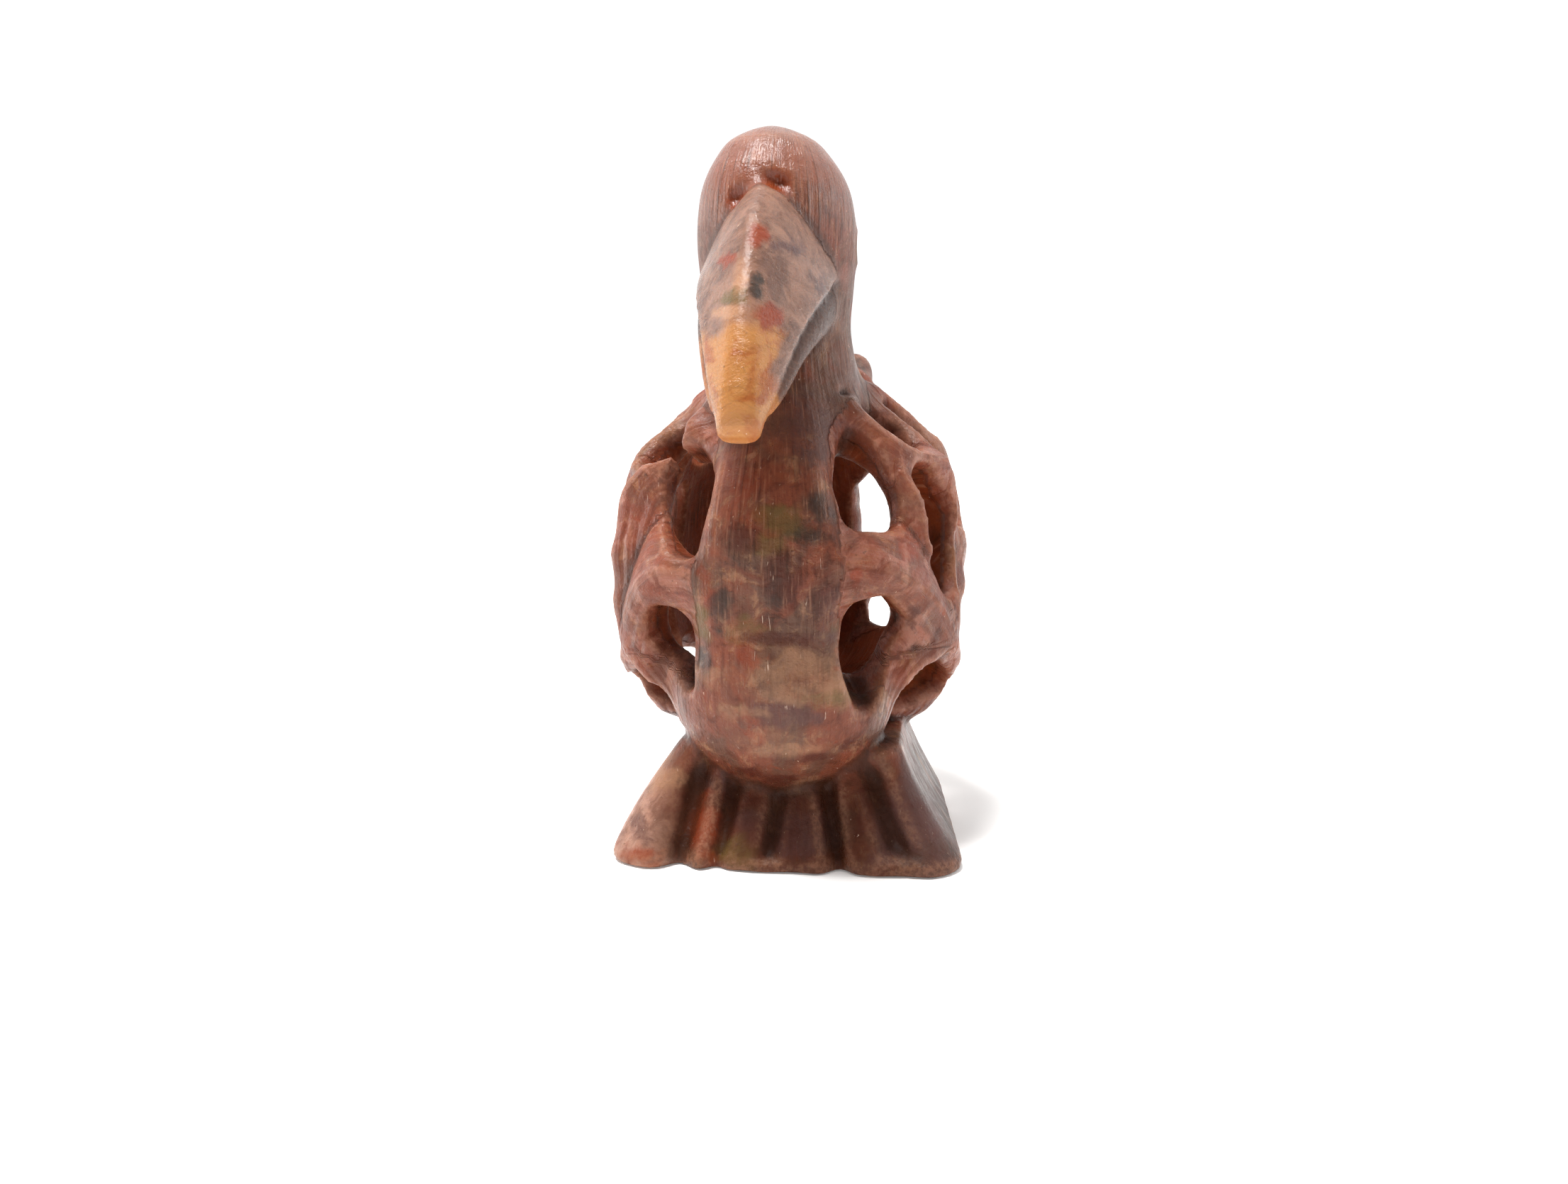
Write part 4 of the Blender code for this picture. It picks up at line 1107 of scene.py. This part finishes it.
def stagePlane(sheetName, half):  # a plain pale sheet that isn't part of the bird
    sheet = bpy.data.meshes.new(sheetName)
    corners = [(-half, -half, 0), (half, -half, 0), (half, half, 0), (-half, half, 0)]
    sheet.from_pydata(corners, [], [(0, 1, 2, 3)])
    paper = bpy.data.materials.new(sheetName)
    paper.use_nodes = True
    tree = paper.node_tree
    surface = tree.nodes["Principled BSDF"]
    surface.inputs["Base Color"].default_value = (*studio["floorColour"], 1)
    surface.inputs["Roughness"].default_value = studio["floorRough"]
    surface.inputs["Emission Color"].default_value = (1, 1, 1, 1)
    paperPlace = tree.nodes.new("ShaderNodeTexCoord")
    farOff = tree.nodes.new("ShaderNodeVectorMath")
    farOff.operation = "LENGTH"
    tree.links.new(paperPlace.outputs["Object"], farOff.inputs[0])
    glow = eased(tree, farOff.outputs["Value"], studio["floorFall"], studio["floorGlow"])
    tree.links.new(glow, surface.inputs["Emission Strength"])
    sheet.materials.append(paper)
    floor = bpy.data.objects.new(sheetName, sheet)
    bpy.context.scene.collection.objects.link(floor)


stagePlane("paleFloor", studio["floorHalf"])

for name, spot, size, watts in studio["lamps"]:
    lamp = bpy.data.lights.new(name, "AREA")
    lamp.energy = watts
    lamp.size = size
    lampObject = bpy.data.objects.new(name, lamp)
    lampObject.location = spot
    ax, ay, az = np.array(studio["lampsAim"]) - np.array(spot)
    lampObject.rotation_euler = (math.atan2(math.hypot(ax, ay), -az), 0, math.atan2(ay, ax) - math.pi / 2)
    bpy.context.scene.collection.objects.link(lampObject)

world = bpy.data.worlds.new("paleRoom")
world.use_nodes = True
room = world.node_tree
back = room.nodes["Background"]
back.inputs["Color"].default_value = (1, 1, 1, 1)
facing = room.nodes.new("ShaderNodeTexCoord")
split = room.nodes.new("ShaderNodeSeparateXYZ")
room.links.new(facing.outputs["Generated"], split.inputs[0])
light = eased(room, split.outputs["Y"], studio["roomFall"], (studio["roomFront"], studio["roomBehind"]))
seen = room.nodes.new("ShaderNodeLightPath")  # the camera sees an even white, whatever light the room gives
even = room.nodes.new("ShaderNodeMix")
room.links.new(seen.outputs["Is Camera Ray"], even.inputs["Factor"])
room.links.new(light, even.inputs["A"])
even.inputs["B"].default_value = studio["roomBehind"]
room.links.new(even.outputs["Result"], back.inputs["Strength"])
bpy.context.scene.world = world
bpy.context.scene.view_settings.view_transform = "Standard"

view = {                  # mm and degrees
    "away": 212.0, "height": 62.0, "tilt": 8.25, "around": 6.7, "shift": -0.95, "lens": 36.0, "film": 36.0,
    "nearest": 0.005,     # metres
}
turn = math.radians(view["around"])
cameraData = bpy.data.cameras.new("camera")
cameraData.lens = view["lens"]
cameraData.sensor_width = view["film"]
cameraData.clip_start = view["nearest"]
camera = bpy.data.objects.new("camera", cameraData)
besideX = math.sin(turn) * view["away"] + math.cos(turn) * view["shift"]
beforeY = -math.cos(turn) * view["away"] + math.sin(turn) * view["shift"]
camera.location = (besideX / 1000, beforeY / 1000, view["height"] / 1000)
camera.rotation_euler = (math.radians(90 - view["tilt"]), 0, turn)
bpy.context.scene.collection.objects.link(camera)
bpy.context.scene.camera = camera

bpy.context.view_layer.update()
done("finished")
